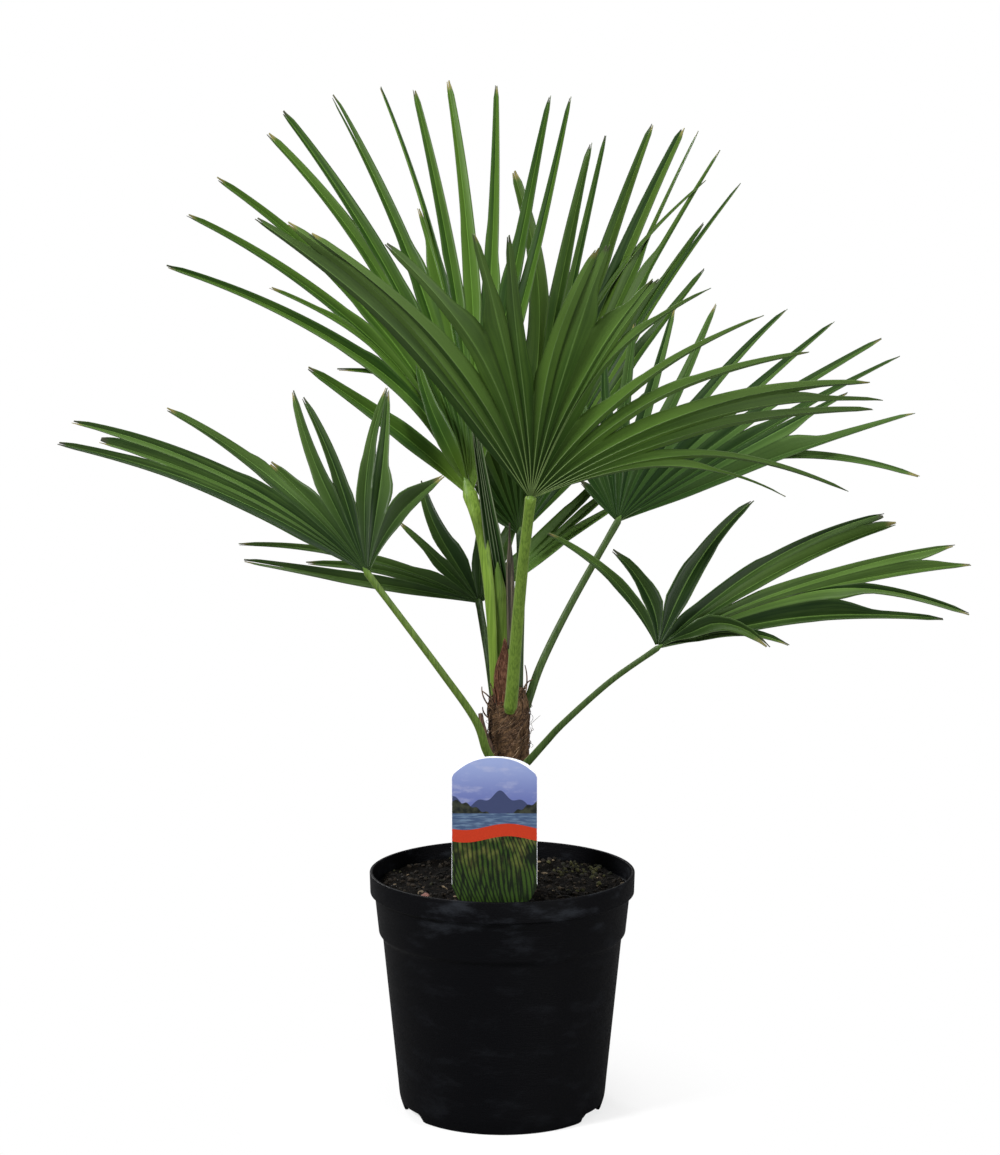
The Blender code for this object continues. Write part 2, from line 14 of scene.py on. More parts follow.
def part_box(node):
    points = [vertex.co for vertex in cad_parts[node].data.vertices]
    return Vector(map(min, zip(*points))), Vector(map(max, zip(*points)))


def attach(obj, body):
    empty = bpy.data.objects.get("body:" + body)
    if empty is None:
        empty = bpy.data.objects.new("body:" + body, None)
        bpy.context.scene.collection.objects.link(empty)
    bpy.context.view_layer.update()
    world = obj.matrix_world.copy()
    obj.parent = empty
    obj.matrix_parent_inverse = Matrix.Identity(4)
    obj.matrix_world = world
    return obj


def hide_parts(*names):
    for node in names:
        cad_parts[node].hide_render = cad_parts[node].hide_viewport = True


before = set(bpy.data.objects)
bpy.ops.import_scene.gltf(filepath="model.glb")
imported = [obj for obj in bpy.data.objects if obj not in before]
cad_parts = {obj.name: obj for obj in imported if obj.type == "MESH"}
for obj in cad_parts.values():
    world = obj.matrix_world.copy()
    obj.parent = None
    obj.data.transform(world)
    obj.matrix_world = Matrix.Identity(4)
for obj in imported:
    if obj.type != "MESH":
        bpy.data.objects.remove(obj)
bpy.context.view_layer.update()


# --- The studio -------------------------------------------------------------------------------------
# A white floor that fades into an evenly white room. A large soft lamp hangs high on the left, weaker
# ones hang on the right, above and low in front, and one behind lights the far side. The camera stands
# two metres off and looks slightly down.
class Shade:
    """One socket of a finish's node tree, so that sums on it read as arithmetic."""

    def __init__(self, tree, socket=None):
        self.tree = tree
        self.socket = socket

    def node(self, kind, settings=None, values=None, output=0):
        """Add a node. Its settings come first, then the value or link of each socket that is named."""
        added = self.tree.nodes.new("ShaderNode" + kind)
        for name, setting in (settings or {}).items():
            setattr(added, name, setting)
        for name, value in (values or {}).items():
            if isinstance(value, Shade):
                self.tree.links.new(value.socket, added.inputs[name])
            else:
                added.inputs[name].default_value = value
        return Shade(self.tree, added.outputs[output])

    def maths(self, operation, first, second=0.0):
        """A sum of any kind on this number."""
        return self.node("Math", {"operation": operation}, {0: first, 1: second})

    def __add__(self, other):
        return self.maths("ADD", self, other)

    __radd__ = __add__

    def __sub__(self, other):
        return self.maths("SUBTRACT", self, other)

    def __rsub__(self, other):
        return self.maths("SUBTRACT", other, self)

    def __mul__(self, other):
        return self.maths("MULTIPLY", self, other)

    __rmul__ = __mul__

    def __truediv__(self, other):
        return self.maths("DIVIDE", self, other)

    def __pow__(self, other):
        return self.maths("POWER", self, other)

    def sine(self):
        return self.maths("SINE", self)

    def size(self):
        """The number without its sign."""
        return self.maths("ABSOLUTE", self)

    def most(self, other):
        """The larger of two numbers."""
        return self.maths("MAXIMUM", self, other)

    def between(self, low, high):
        """0 below low, 1 above high, and a smooth step from one to the other."""
        return self.node(
            "MapRange", {"interpolation_type": "SMOOTHSTEP"},
            {"Value": self, "From Min": low, "From Max": high},
        )

    def place(self):
        """The point of the piece, in metres."""
        return self.node("TexCoord", output="Object")

    def split(self):
        """A vector's three numbers."""
        parts = self.node("SeparateXYZ", values={"Vector": self}).socket.node
        return [Shade(self.tree, parts.outputs[axis]) for axis in "XYZ"]

    def grain(self, scale, detail=3.0, roughness=0.5):
        """Noise over a vector, about 0.5."""
        values = {"Vector": self, "Scale": scale, "Detail": detail, "Roughness": roughness}
        return self.node("TexNoise", values=values)

    def stretched(self, x, y, z):
        """A vector with its three numbers scaled."""
        return self.node("VectorMath", {"operation": "MULTIPLY"}, {0: self, 1: (x, y, z)})

    def blend(self, first, second):
        """From the first colour to the second, by this number."""
        first, second = [c if isinstance(c, Shade) else (*c, 1) for c in (first, second)]
        return self.node("Mix", {"data_type": "RGBA"}, {0: self, 6: first, 7: second}, output=2)

    def bump(self, height, distance):
        """A surface raised by height, up to distance in metres."""
        return self.node("Bump", values={"Height": height, "Distance": distance})

    def show(self, output):
        """Make this shader the one that the tree's output shows."""
        self.tree.links.new(self.socket, self.tree.nodes[output].inputs["Surface"])

    def feed(self, **sockets):
        """Link shades to the finish's own shader: base_color=..., roughness=..., normal=..."""
        shader = self.tree.nodes["Principled BSDF"]
        for name, shade in sockets.items():
            self.tree.links.new(shade.socket, shader.inputs[name.replace("_", " ").title()])


def new_finish(name, roughness, specular):
    """A material with one shader, and a Shade to build the rest from."""
    finish = bpy.data.materials.new(name)
    finish.use_nodes = True
    shader = finish.node_tree.nodes["Principled BSDF"]
    shader.inputs["Roughness"].default_value = roughness
    shader.inputs["Specular IOR Level"].default_value = specular
    return finish, Shade(finish.node_tree)


white = (1, 1, 1, 1)
room_strength = 0.22
scene = bpy.context.scene
scene.view_settings.view_transform = "Standard"
room = bpy.data.worlds.new("white_room")
room.use_nodes = True
in_view = Shade(room.node_tree).node("LightPath", output="Is Camera Ray")
room_glow = in_view.node("Background", values={"Color": white, "Strength": room_strength})
room_wall = in_view.node("Background", values={"Color": white})
in_view.node("MixShader", values={0: in_view, 1: room_glow, 2: room_wall}).show("World Output")
scene.world = room

camera = bpy.data.objects.new("camera", bpy.data.cameras.new("camera"))
camera.data.lens = 89.0
camera.data.sensor_width = 36
camera.location = (-0.0016, -2.0, 0.659)
camera.rotation_euler.x = math.radians(82.19)
scene.collection.objects.link(camera)
scene.camera = camera


def hang_lamp(name, place, aim_height, width, power):
    """A round soft lamp, turned toward a point above the middle of the pot."""
    lamp = bpy.data.lights.new(name, "AREA")
    lamp.shape = "DISK"
    lamp.size = width
    lamp.energy = power
    holder = bpy.data.objects.new(name, lamp)
    holder.location = place
    holder.rotation_euler = (Vector((0, 0, aim_height)) - Vector(place)).to_track_quat("-Z", "Y").to_euler()
    scene.collection.objects.link(holder)


hang_lamp("key_lamp", (-1.6, -1.3, 1.9), aim_height=0.4, width=0.6, power=84)
hang_lamp("right_lamp", (1.7, -1.3, 1.2), aim_height=0.4, width=0.6, power=26)
hang_lamp("top_lamp", (0.2, -0.3, 2.4), aim_height=0.3, width=0.7, power=26)
hang_lamp("low_lamp", (1.1, -2.0, 0.20), aim_height=0.4, width=0.8, power=15)
hang_lamp("back_lamp", (-0.9, 1.9, 1.3), aim_height=0.4, width=0.6, power=22)

floor_radius = 8
tone_in_view, tone_for_bounces = 0.90, 0.25
shadow_start, shadow_end, shadow_depth = 0.04, 0.20, 0.30
floor_shape = bmesh.new()
bmesh.ops.create_circle(floor_shape, cap_ends=True, segments=96, radius=floor_radius)
floor_mesh = bpy.data.meshes.new("floor")
floor_shape.to_mesh(floor_mesh)
floor_shape.free()
floor_paint, paint = new_finish("floor_paint", roughness=0.9, specular=0.0)
in_view = paint.node("LightPath", output="Is Camera Ray")
from_pot = paint.node("VectorMath", {"operation": "LENGTH"}, {0: paint.place()}, output="Value")
paint.feed(base_color=tone_for_bounces + (tone_in_view - tone_for_bounces) * in_view)
fade = in_view * (1 - shadow_depth + shadow_depth * from_pot.between(shadow_start, shadow_end))
matt = Shade(paint.tree, paint.tree.nodes["Principled BSDF"].outputs[0])
paint.node("MixShader", values={0: fade, 1: matt, 2: paint.node("Emission")}).show("Material Output")
floor_mesh.materials.append(floor_paint)
floor = bpy.data.objects.new("floor", floor_mesh)
scene.collection.objects.link(floor)


# --- The pot ----------------------------------------------------------------------------------------
# A thin black nursery pot, injection-moulded in one piece: a stiff rim band, a second band under it, a
# tapered wall, and a foot ring with four gaps for drainage. The floor has six drain holes.
def add_piece(name, mesh, slot, *finishes, place=None):
    """Put a finished mesh on the part."""
    for finish in finishes:
        mesh.materials.append(finish)
    piece = bpy.data.objects.new(name, mesh)
    scene.collection.objects.link(piece)
    if place:
        piece.matrix_world = place
    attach(piece, "root")
    return piece


def mesh_of(name, shape, smooth=True):
    """Turn a bmesh into a mesh."""
    for face in shape.faces:
        face.smooth = smooth
    mesh = bpy.data.meshes.new(name)
    shape.to_mesh(mesh)
    shape.free()
    return mesh


def evaluated_mesh(piece):
    """A piece's mesh with its modifiers applied, or the mesh that its curves give."""
    bpy.context.view_layer.update()
    return bpy.data.meshes.new_from_object(
        piece.evaluated_get(bpy.context.evaluated_depsgraph_get())
    )


def skin(shape, rows, closed):
    """Add faces between rows of points. Each row is a ring where closed."""
    rows = [[shape.verts.new(point) for point in row] for row in rows]
    for lower, upper in zip(rows, rows[1:]):
        for i in range(len(lower) - (0 if closed else 1)):
            j = (i + 1) % len(lower)
            shape.faces.new((lower[i], lower[j], upper[j], upper[i]))
    return rows


def rounded(corners):
    """(radius, height, fillet) corners as a line whose corners are small arcs."""
    line = []
    for index, (radius, height, fillet) in enumerate(corners):
        here = Vector((radius, height))
        if not fillet:
            line.append(here)
            continue
        start = here + (Vector(corners[index - 1][:2]) - here).normalized() * fillet
        end = here + (Vector(corners[index + 1][:2]) - here).normalized() * fillet
        for k in range(5):
            t = k / 4
            line.append(start * (1 - t) ** 2 + here * 2 * t * (1 - t) + end * t * t)
    return line


def ease(value, low, high):
    """0 below low, 1 above high, and a smooth step between them."""
    share = min(max((value - low) / (high - low), 0), 1)
    return share * share * (3 - 2 * share)


pot_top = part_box("pot")[1].z
pot_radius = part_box("pot")[1].x
pot_wall = 0.0016
foot_height, foot_radius, foot_ring = 0.0075, 0.0715, 0.006
pot_profile = rounded([
    (0, foot_height + pot_wall, 0),
    (0.0640, foot_height + pot_wall, 0.004),
    (0.0722, 0.0190, 0.004),
    (0.0841, 0.1262, 0.0015),
    (0.0867, 0.1300, 0.0015),
    (0.0895, 0.1574, 0.0008),
    (0.0927, 0.1596, 0.0010),
    (pot_radius - 0.0022, pot_top, 0.0006),
    (pot_radius, pot_top, 0.0007),
    (pot_radius - 0.0004, 0.1579, 0.0008),
    (0.0914, 0.1568, 0.0008),
    (0.0885, 0.1290, 0.0012),
    (0.0858, 0.1257, 0.0016),
    (0.0754, 0.0210, 0.006),
    (0.0742, 0.0080, 0.004),
    (foot_radius, 0, 0.0010),
    (foot_radius - 0.0022, 0, 0.0006),
    (foot_radius - 0.0030, foot_height, 0.0008),
    (0.0144, foot_height, 0.0004),
    (0.0140, 0, 0.0004),
    (0, 0, 0),
])
notch_middle = math.radians(64)
notch_half = math.radians(14)
notch_side = math.radians(5)
notch_height = 0.0060
pot_sides = 288
drain_holes = 6
drain_radius = 0.005
drain_ring = 0.045


def pot_point(radius, height, angle):
    """A point of the pot. The angle is from the front, and the foot ring has its four gaps."""
    folded = min(angle % math.pi, math.pi - angle % math.pi)
    in_notch = 1 - ease(abs(folded - notch_middle), notch_half - notch_side, notch_half)
    lowest = notch_height * in_notch if radius > foot_radius - foot_ring else 0
    return Vector((radius * math.sin(angle), -radius * math.cos(angle), max(height, lowest)))


pot_shape = bmesh.new()
pot_angles = [math.tau * k / pot_sides for k in range(pot_sides)]
skin(pot_shape, [[pot_point(r, z, a) for a in pot_angles] for r, z in pot_profile], True)
bmesh.ops.remove_doubles(pot_shape, verts=pot_shape.verts, dist=0.00002)
bmesh.ops.recalc_face_normals(pot_shape, faces=pot_shape.faces)

black_plastic, black = new_finish("black_plastic", roughness=0.5, specular=0.08)
spot = black.place()
pot_height = spot.split()[2]
scuffs = spot.stretched(1, 1, 2.5).grain(28, 5, 0.62)
mould_lines = spot.stretched(1, 1, 9).grain(160, 3)
pores = spot.grain(1500, 2)
# Partly real dust and scuffs, partly painted sheen: a paler blue-grey gathers on the rim bands for the light
# they catch.
dust_and_rim_sheen = scuffs.between(0.50, 0.74) * (0.25 + 0.75 * pot_height.between(0.120, 0.165))
dull = dust_and_rim_sheen.blend((0.0006, 0.0007, 0.0014), (0.014, 0.016, 0.020))
black.feed(
    base_color=dull,
    roughness=0.42 + 0.22 * scuffs + 0.10 * mould_lines,
    normal=black.bump(0.6 * mould_lines + 0.25 * pores + 0.5 * scuffs, 0.00035),
)
pot_piece = add_piece("pot_shell", mesh_of("pot_shell", pot_shape), "pot", black_plastic)
for k in range(drain_holes):
    drill = bmesh.new()
    bmesh.ops.create_cone(
        drill, cap_ends=True, segments=28, radius1=drain_radius, radius2=drain_radius, depth=0.02
    )
    turn = math.tau * k / drain_holes
    drill_place = (drain_ring * math.cos(turn), drain_ring * math.sin(turn), foot_height)
    bmesh.ops.translate(drill, vec=drill_place, verts=drill.verts)
    bit = bpy.data.objects.new("drill", mesh_of("drill", drill))
    scene.collection.objects.link(bit)
    pot_piece.modifiers.new("Drain hole", "BOOLEAN").object = bit
    pot_piece.data = evaluated_mesh(pot_piece)
    pot_piece.modifiers.clear()
    bpy.data.objects.remove(bit)
pot_piece.data.set_sharp_from_angle(angle=math.radians(40))
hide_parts("pot")


# --- The soil ---------------------------------------------------------------------------------------
# Dark peat that ends a finger's width below the rim, with crumbs of bark and peat on it, a few tufts
# of moss, one reddish pebble and some dead twigs. The crumbs are loose and lie where they fell.
soil_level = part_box("soil")[1].z
soil_radius = 0.0890
soil_sides, soil_rings = 170, 60
crumb_reach = 0.0865
stem_place, stem_clearance = 0.0045, 0.0175


def closed_tube(shape, rows):
    """Skin rings of points, close both ends and turn every face outward."""
    rings = skin(shape, rows, True)
    shape.faces.new(rings[-1])
    shape.faces.new(reversed(rings[0]))
    bmesh.ops.recalc_face_normals(shape, faces=shape.faces)
    return rings


def soil_height(x, y):
    """The bumpy top of the soil."""
    coarse = noise.noise(Vector((x * 45, y * 45, 3.1)))
    fine = noise.noise(Vector((x * 150, y * 150, 7.7)))
    finest = noise.noise(Vector((x * 420, y * 420, 1.2)))
    return soil_level + 0.0012 + 0.0022 * coarse + 0.0013 * fine + 0.0007 * finest


def soil_ring(radius, height=None):
    """A ring of points, on the bumpy top or level at a height."""
    ring = []
    for k in range(soil_sides):
        x, y = radius * math.cos(math.tau * k / soil_sides), radius * math.sin(math.tau * k / soil_sides)
        ring.append((x, y, soil_height(x, y) if height is None else height))
    return ring


soil_side = ((0.0888, 0.155), (0.0858, 0.128), (0.0832, 0.124), (0.0716, 0.018), (0.001, 0.0115))
soil_rows = [soil_ring(soil_radius * max(k / soil_rings, 0.002)) for k in range(soil_rings + 1)]
soil_rows += [soil_ring(radius, height) for radius, height in soil_side]
soil_shape = bmesh.new()
closed_tube(soil_shape, soil_rows)

peat, dark = new_finish("peat", roughness=0.95, specular=0.05)
spot = dark.place()
crumbs = spot.grain(240, 6, 0.7)
specks = spot.grain(620, 2).between(0.62, 0.74)
peat_colour = crumbs.between(0.35, 0.75).blend((0.0006, 0.0005, 0.0004), (0.0040, 0.0030, 0.0022))
dark.feed(
    base_color=specks.blend(peat_colour, (0.030, 0.022, 0.014)),
    normal=dark.bump(crumbs, 0.0015),
)
soil_piece = add_piece("soil_bed", mesh_of("soil_bed", soil_shape), "soil", peat)
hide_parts("soil")


def crumb_finish(name, deep, pale, scale):
    """Rough stuff whose tone differs from crumb to crumb."""
    finish, rough = new_finish(name, roughness=0.9, specular=0.2)
    tone = rough.node("Attribute", {"attribute_name": "tone"}, output="Fac")
    mottle = rough.place().grain(scale, 4, 0.6)
    rough.feed(
        base_color=(0.7 * tone + 0.6 * mottle - 0.15).between(0.1, 0.9).blend(deep, pale),
        normal=rough.bump(mottle, 0.0006),
    )
    return finish


def scatter(name, finish, seed, count, sizes, flatness, near=None):
    """Strew irregular lumps over the soil, or about a place: near holds its x, its y and their spread."""
    chance = random.Random(seed)
    shape = bmesh.new()
    tone_layer = shape.faces.layers.float.new("tone")
    for _ in range(count):
        if near:
            x, y = near[0] + chance.gauss(0, near[2]), near[1] + chance.gauss(0, near[2])
        else:
            radius = crumb_reach * math.sqrt(chance.random())
            angle = chance.uniform(0, math.tau)
            x, y = radius * math.cos(angle), radius * math.sin(angle)
        if math.hypot(x, y) > crumb_reach + 0.0005 or math.hypot(x - stem_place, y) < stem_clearance:
            continue
        size = chance.uniform(*sizes)
        made = bmesh.ops.create_icosphere(shape, subdivisions=2, radius=size)["verts"]
        offset = Vector((chance.uniform(0, 50), chance.uniform(0, 50), chance.uniform(0, 50)))
        stretch = Vector((1, chance.uniform(0.45, 0.9), chance.uniform(*flatness)))
        turn = Matrix.Rotation(chance.uniform(0, math.tau), 3, "Z")
        for axis in "XY":
            turn = turn @ Matrix.Rotation(chance.gauss(0, 0.4), 3, axis)
        for vert in made:
            lump = 1 + 0.45 * noise.noise(vert.co / size * 1.3 + offset)
            vert.co = turn @ (vert.co * lump * stretch)
            vert.co += Vector((x, y, soil_height(x, y) + size * stretch.z * 0.35))
        tone = chance.random()
        for face in {face for vert in made for face in vert.link_faces}:
            face[tone_layer] = tone
    return add_piece(name, mesh_of(name, shape), "soil", finish)


bark = crumb_finish("bark_crumb", (0.0012, 0.0010, 0.0007), (0.014, 0.010, 0.006), 500)
old_wood = crumb_finish("old_wood", (0.022, 0.016, 0.010), (0.150, 0.115, 0.072), 400)
moss = crumb_finish("moss", (0.003, 0.0035, 0.001), (0.042, 0.042, 0.014), 900)
pebble_skin = crumb_finish("reddish_pebble", (0.110, 0.050, 0.040), (0.260, 0.130, 0.110), 300)
scatter("peat_crumbs", bark, 11, count=620, sizes=(0.0008, 0.0024), flatness=(0.4, 0.8))
scatter("bark_bits", old_wood, 12, count=46, sizes=(0.0012, 0.0030), flatness=(0.25, 0.5))
scatter(
    "moss_tufts_back", moss, 13, count=60, sizes=(0.0010, 0.0026), flatness=(0.4, 0.9),
    near=(0.055, 0.045, 0.014),
)
scatter("moss_tufts", moss, 14, count=40, sizes=(0.0010, 0.0022), flatness=(0.4, 0.9))
scatter(
    "pebble", pebble_skin, 15, count=1, sizes=(0.0036, 0.0038), flatness=(0.6, 0.7),
    near=(-0.054, -0.036, 0.0),
)


def strands(name, slot, finish, lines, thickness):
    """A bundle of thin round fibres, each through its own points and thinner at its ends."""
    bundle = bpy.data.curves.new(name, "CURVE")
    bundle.dimensions = "3D"
    bundle.bevel_depth = thickness
    bundle.bevel_resolution = 1
    bundle.use_fill_caps = True
    for line in lines:
        spline = bundle.splines.new("POLY")
        spline.points.add(len(line) - 1)
        for k, (point, place) in enumerate(zip(spline.points, line)):
            point.co = (*place, 1)
            point.radius = 0.35 + 0.65 * math.sin(math.pi * (k + 0.6) / (len(line) + 0.2)) ** 0.5
    guide = bpy.data.objects.new(name, bundle)
    scene.collection.objects.link(guide)
    guide_mesh = evaluated_mesh(guide)
    bpy.data.objects.remove(guide)
    guide_mesh.shade_smooth()
    guide_mesh.materials.clear()
    return add_piece(name, guide_mesh, slot, finish)


twigs = []
twig_places = ((0.036, -0.020, -1.1, 0.034), (-0.060, 0.020, 0.4, 0.022), (0.020, 0.050, 2.4, 0.026))
for foot_x, foot_y, heading, length in twig_places:
    twig = []
    for k in range(12):
        x = foot_x + math.cos(heading) * length * k / 11
        y = foot_y + math.sin(heading) * length * k / 11
        twig.append((x, y + 0.0008 * math.sin(k * 0.9), soil_height(x, y) + 0.0012 + 0.0002 * (k % 3)))
    twigs.append(twig)
strands("dead_twigs", "soil", bark, twigs, thickness=0.0006)


# --- The trunk --------------------------------------------------------------------------------------
# A short stem wrapped in the brown woven fibre that old leaf sheaths leave. Coarse strands run round it
# both ways over a matted surface, and loose hairs stand off it, mostly on the right.
trunk_low, trunk_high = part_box("trunk")
trunk_x = (trunk_low.x + trunk_high.x) / 2
trunk_top = trunk_high.z
trunk_foot = soil_level - 0.006
trunk_core, foot_flare, top_shoulder = 0.0143, 0.0022, 0.0030
trunk_sides, trunk_levels = 96, 110
weave_turns, weave_pitch = 26, 900


def trunk_radius(height):
    """The matted surface's radius: it flares toward the soil and rounds off at the top."""
    flare = foot_flare * (1 - ease(height, 0.158, 0.215))
    shoulder = top_shoulder * ease(height, trunk_top - 0.012, trunk_top)
    return trunk_core + flare - shoulder


def trunk_point(angle, height, stand_off=0.0):
    """A point on the trunk. The angle is from the front, positive to the right."""
    radius = trunk_radius(height) + stand_off
    return Vector((trunk_x + radius * math.sin(angle), -radius * math.cos(angle), height))


trunk_rows = []
for level in range(trunk_levels + 1):
    height = trunk_foot + (trunk_top - trunk_foot) * level / trunk_levels
    row = []
    for k in range(trunk_sides):
        angle = math.tau * k / trunk_sides
        lump = noise.noise(Vector((3.2 * math.sin(angle), 3.2 * math.cos(angle), height * 60)))
        weave = math.sin(weave_turns * angle + height * weave_pitch)
        weave *= math.sin(weave_turns * angle - height * weave_pitch)
        row.append(trunk_point(angle, height, 0.0008 * lump + 0.00028 * weave))
    trunk_rows.append(row)
trunk_rows.append([
    trunk_point(math.tau * k / trunk_sides, trunk_top + 0.0008, -0.006) for k in range(trunk_sides)
])
trunk_shape = bmesh.new()
closed_tube(trunk_shape, trunk_rows)

fibre_mat, brown = new_finish("fibre_mat", roughness=0.9, specular=0.15)
spot = brown.place()
matting = spot.stretched(1, 1, 0.7).grain(420, 5, 0.65)
patches = spot.grain(70, 3)
brown.feed(
    base_color=(matting + 0.4 * patches - 0.2).between(0.30, 0.78).blend(
        (0.026, 0.014, 0.007), (0.170, 0.100, 0.052)
    ),
    normal=brown.bump(matting, 0.0009),
)
trunk_piece = add_piece("trunk_mat", mesh_of("trunk_mat", trunk_shape), "trunk", fibre_mat)
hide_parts("trunk")


def fibre_finish(name, deep, pale):
    """A dry fibre whose tone wanders along it."""
    finish, dry = new_finish(name, roughness=0.75, specular=0.25)
    dry.feed(base_color=dry.place().grain(330, 3).between(0.36, 0.66).blend(deep, pale))
    return finish


dark_fibre = fibre_finish("dark_fibre", (0.026, 0.014, 0.008), (0.130, 0.074, 0.040))
pale_fibre = fibre_finish("pale_fibre", (0.120, 0.072, 0.038), (0.300, 0.205, 0.125))
strand_radius = 0.015
chance = random.Random(21)


def trunk_strand(length, slope):
    """A strand that lies on the trunk and rides up a little in its middle."""
    angle, height = chance.uniform(0, math.tau), chance.uniform(soil_level, trunk_top - 0.004)
    rise = chance.uniform(0.0002, 0.0011)
    phase = chance.uniform(0, 6)
    line = []
    for k in range(13):
        share = k / 12
        level = min(height + slope * length * share, trunk_top + 0.001)
        round_way = length * share * math.sqrt(1 - min(slope * slope, 0.96))
        turn = angle + math.copysign(round_way, slope) / strand_radius
        wander = 0.0005 * math.sin(phase + 5 * share)
        line.append(trunk_point(turn, level + wander, 0.0001 + rise * math.sin(math.pi * share)))
    return line


strands("coarse_strands", "trunk", dark_fibre, [
    trunk_strand(chance.uniform(0.012, 0.034), chance.choice((-1, 1)) * chance.uniform(0.25, 0.95))
    for _ in range(330)
], thickness=0.00026)
strands("pale_strands", "trunk", pale_fibre, [
    trunk_strand(chance.uniform(0.008, 0.026), chance.choice((-1, 1)) * chance.uniform(0.3, 0.97))
    for _ in range(210)
], thickness=0.00017)


def loose_hair(angle, height, reach, lift, curl):
    """A hair that leaves the trunk, stands off it by reach and curls back."""
    line = []
    for k in range(12):
        share = k / 11
        swing = curl * share * share
        stand_off = reach * math.sin(2.4 * share) - 0.0004
        line.append(trunk_point(angle + swing, height + lift * share, stand_off))
    return line


hairs = [
    loose_hair(chance.gauss(1.5, 0.5), chance.uniform(0.190, 0.292), chance.uniform(0.0012, 0.0042),
               chance.uniform(-0.006, 0.010), chance.uniform(-0.35, 0.35))
    for _ in range(60)
]
hairs += [
    loose_hair(chance.uniform(0, math.tau), chance.uniform(0.175, 0.300), chance.uniform(0.0010, 0.0030),
               chance.uniform(-0.006, 0.010), chance.uniform(-0.4, 0.4))
    for _ in range(80)
]
stray_foot = trunk_point(1.45, 0.2780, -0.0004)
hairs.append([stray_foot + Vector((0.0011 * k, 0, 0.0010 * k)) for k in range(9)])
strands("loose_hairs", "trunk", dark_fibre, hairs, thickness=0.00016)


# --- The crown sheath -------------------------------------------------------------------------------
# The newest sheath: a torn triangle of reddish fibre that stands up in front of the young stems, with
# fibres running to its point, and dry shreds that curl off its foot on both sides.
sheath_left, sheath_right = math.radians(-52), math.radians(-4)
sheath_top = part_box("crown_sheath")[1].z
sheath_foot = trunk_top - 0.010
sheath_radius = trunk_radius(0.27) - 0.0005


def sheath_point(across, up, stand_off=0.0):
    """A point of the sheath. across runs from -1 to 1 and up from 0 to 1."""
    middle = (sheath_left + sheath_right) / 2
    narrow = 1 - 0.90 * ease(up, 0.50, 1.16)
    tear = 0.05 * noise.noise(Vector((across * 4, up * 9, 2.0)))
    angle = middle + (sheath_right - sheath_left) / 2 * across * narrow + 0.30 * up + tear
    buckle = 0.0007 * noise.noise(Vector((across * 2.2, up * 5, 9.0)))
    radius = sheath_radius + buckle + stand_off
    height = sheath_foot + (sheath_top - sheath_foot) * up * (1 - 0.10 * abs(across) ** 2)
    return Vector((trunk_x + radius * math.sin(angle), -radius * math.cos(angle), height))


def thicken(piece, thickness, offset=0, under=0, rim=0):
    """Give a sheet its thickness. under and rim are the finishes of its far side and of its edges."""
    shell = piece.modifiers.new("Shell", "SOLIDIFY")
    shell.thickness = thickness
    shell.offset = offset
    shell.material_offset = under
    shell.material_offset_rim = rim


sheath_wide, sheath_high = 16, 40
sheath_rows = [
    [sheath_point(2 * k / sheath_wide - 1, level / sheath_high) for k in range(sheath_wide + 1)]
    for level in range(sheath_high + 1)
]
sheath_shape = bmesh.new()
skin(sheath_shape, sheath_rows, False)
sheath_fibre, red = new_finish("sheath_fibre", roughness=0.85, specular=0.2)
spot = red.place()
threads = spot.stretched(1, 1, 0.05).grain(800, 3)
patches = spot.stretched(1, 1, 0.4).grain(90, 2)
red.feed(
    base_color=(0.8 * threads + 0.3 * patches - 0.05).between(0.40, 0.64).blend(
        (0.040, 0.013, 0.007), (0.170, 0.068, 0.036)
    ),
    normal=red.bump(threads, 0.0006),
)
sheath_piece = add_piece("torn_sheath", mesh_of("torn_sheath", sheath_shape), "sheath", sheath_fibre)
thicken(sheath_piece, 0.0007)
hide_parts("crown_sheath")

chance = random.Random(31)
threads_up = []
for _ in range(46):
    start, drift = chance.uniform(-1, 1), chance.uniform(-0.25, 0.25)
    low, high = chance.uniform(0, 0.35), chance.uniform(0.55, 1.04)
    threads_up.append([
        sheath_point(start + drift * k / 9, low + (high - low) * k / 9, 0.0005 + chance.uniform(0, 0.0003))
        for k in range(10)
    ])
red_fibre = fibre_finish("red_fibre", (0.080, 0.032, 0.016), (0.165, 0.075, 0.042))
strands("sheath_threads", "sheath", red_fibre, threads_up, thickness=0.00018)


def curl(start, heading, length, bend, sway):
    """A shred that leaves its start along a heading and curls in the plane that faces the front."""
    place = Vector(start)
    line = []
    for k in range(14):
        line.append(place.copy())
        angle = heading + bend * (k / 13) ** 1.5
        place += Vector((math.cos(angle), sway * math.sin(k * 0.7), math.sin(angle))) * length / 13
    return line


crown_front = -trunk_radius(0.29)
shreds = [
    curl((trunk_x - 0.010, crown_front * 0.75, 0.290), 2.35, 0.021, -0.9, 0.15),
    curl((trunk_x - 0.009, crown_front * 0.80, 0.293), 2.00, 0.016, 0.7, 0.15),
    curl((trunk_x - 0.007, crown_front * 0.90, 0.286), 1.70, 0.026, 0.3, 0.10),
    curl((trunk_x - 0.012, crown_front * 0.60, 0.284), 2.60, 0.012, -1.2, 0.10),
    curl((trunk_x + 0.010, crown_front * 0.70, 0.296), 1.30, 0.028, 0.6, 0.10),
    curl((trunk_x + 0.011, crown_front * 0.60, 0.300), 1.70, 0.016, -1.6, 0.12),
    curl((trunk_x + 0.009, crown_front * 0.75, 0.290), 1.10, 0.012, 1.6, 0.12),
]
strands("dry_shreds", "sheath", dark_fibre, shreds, thickness=0.00060)


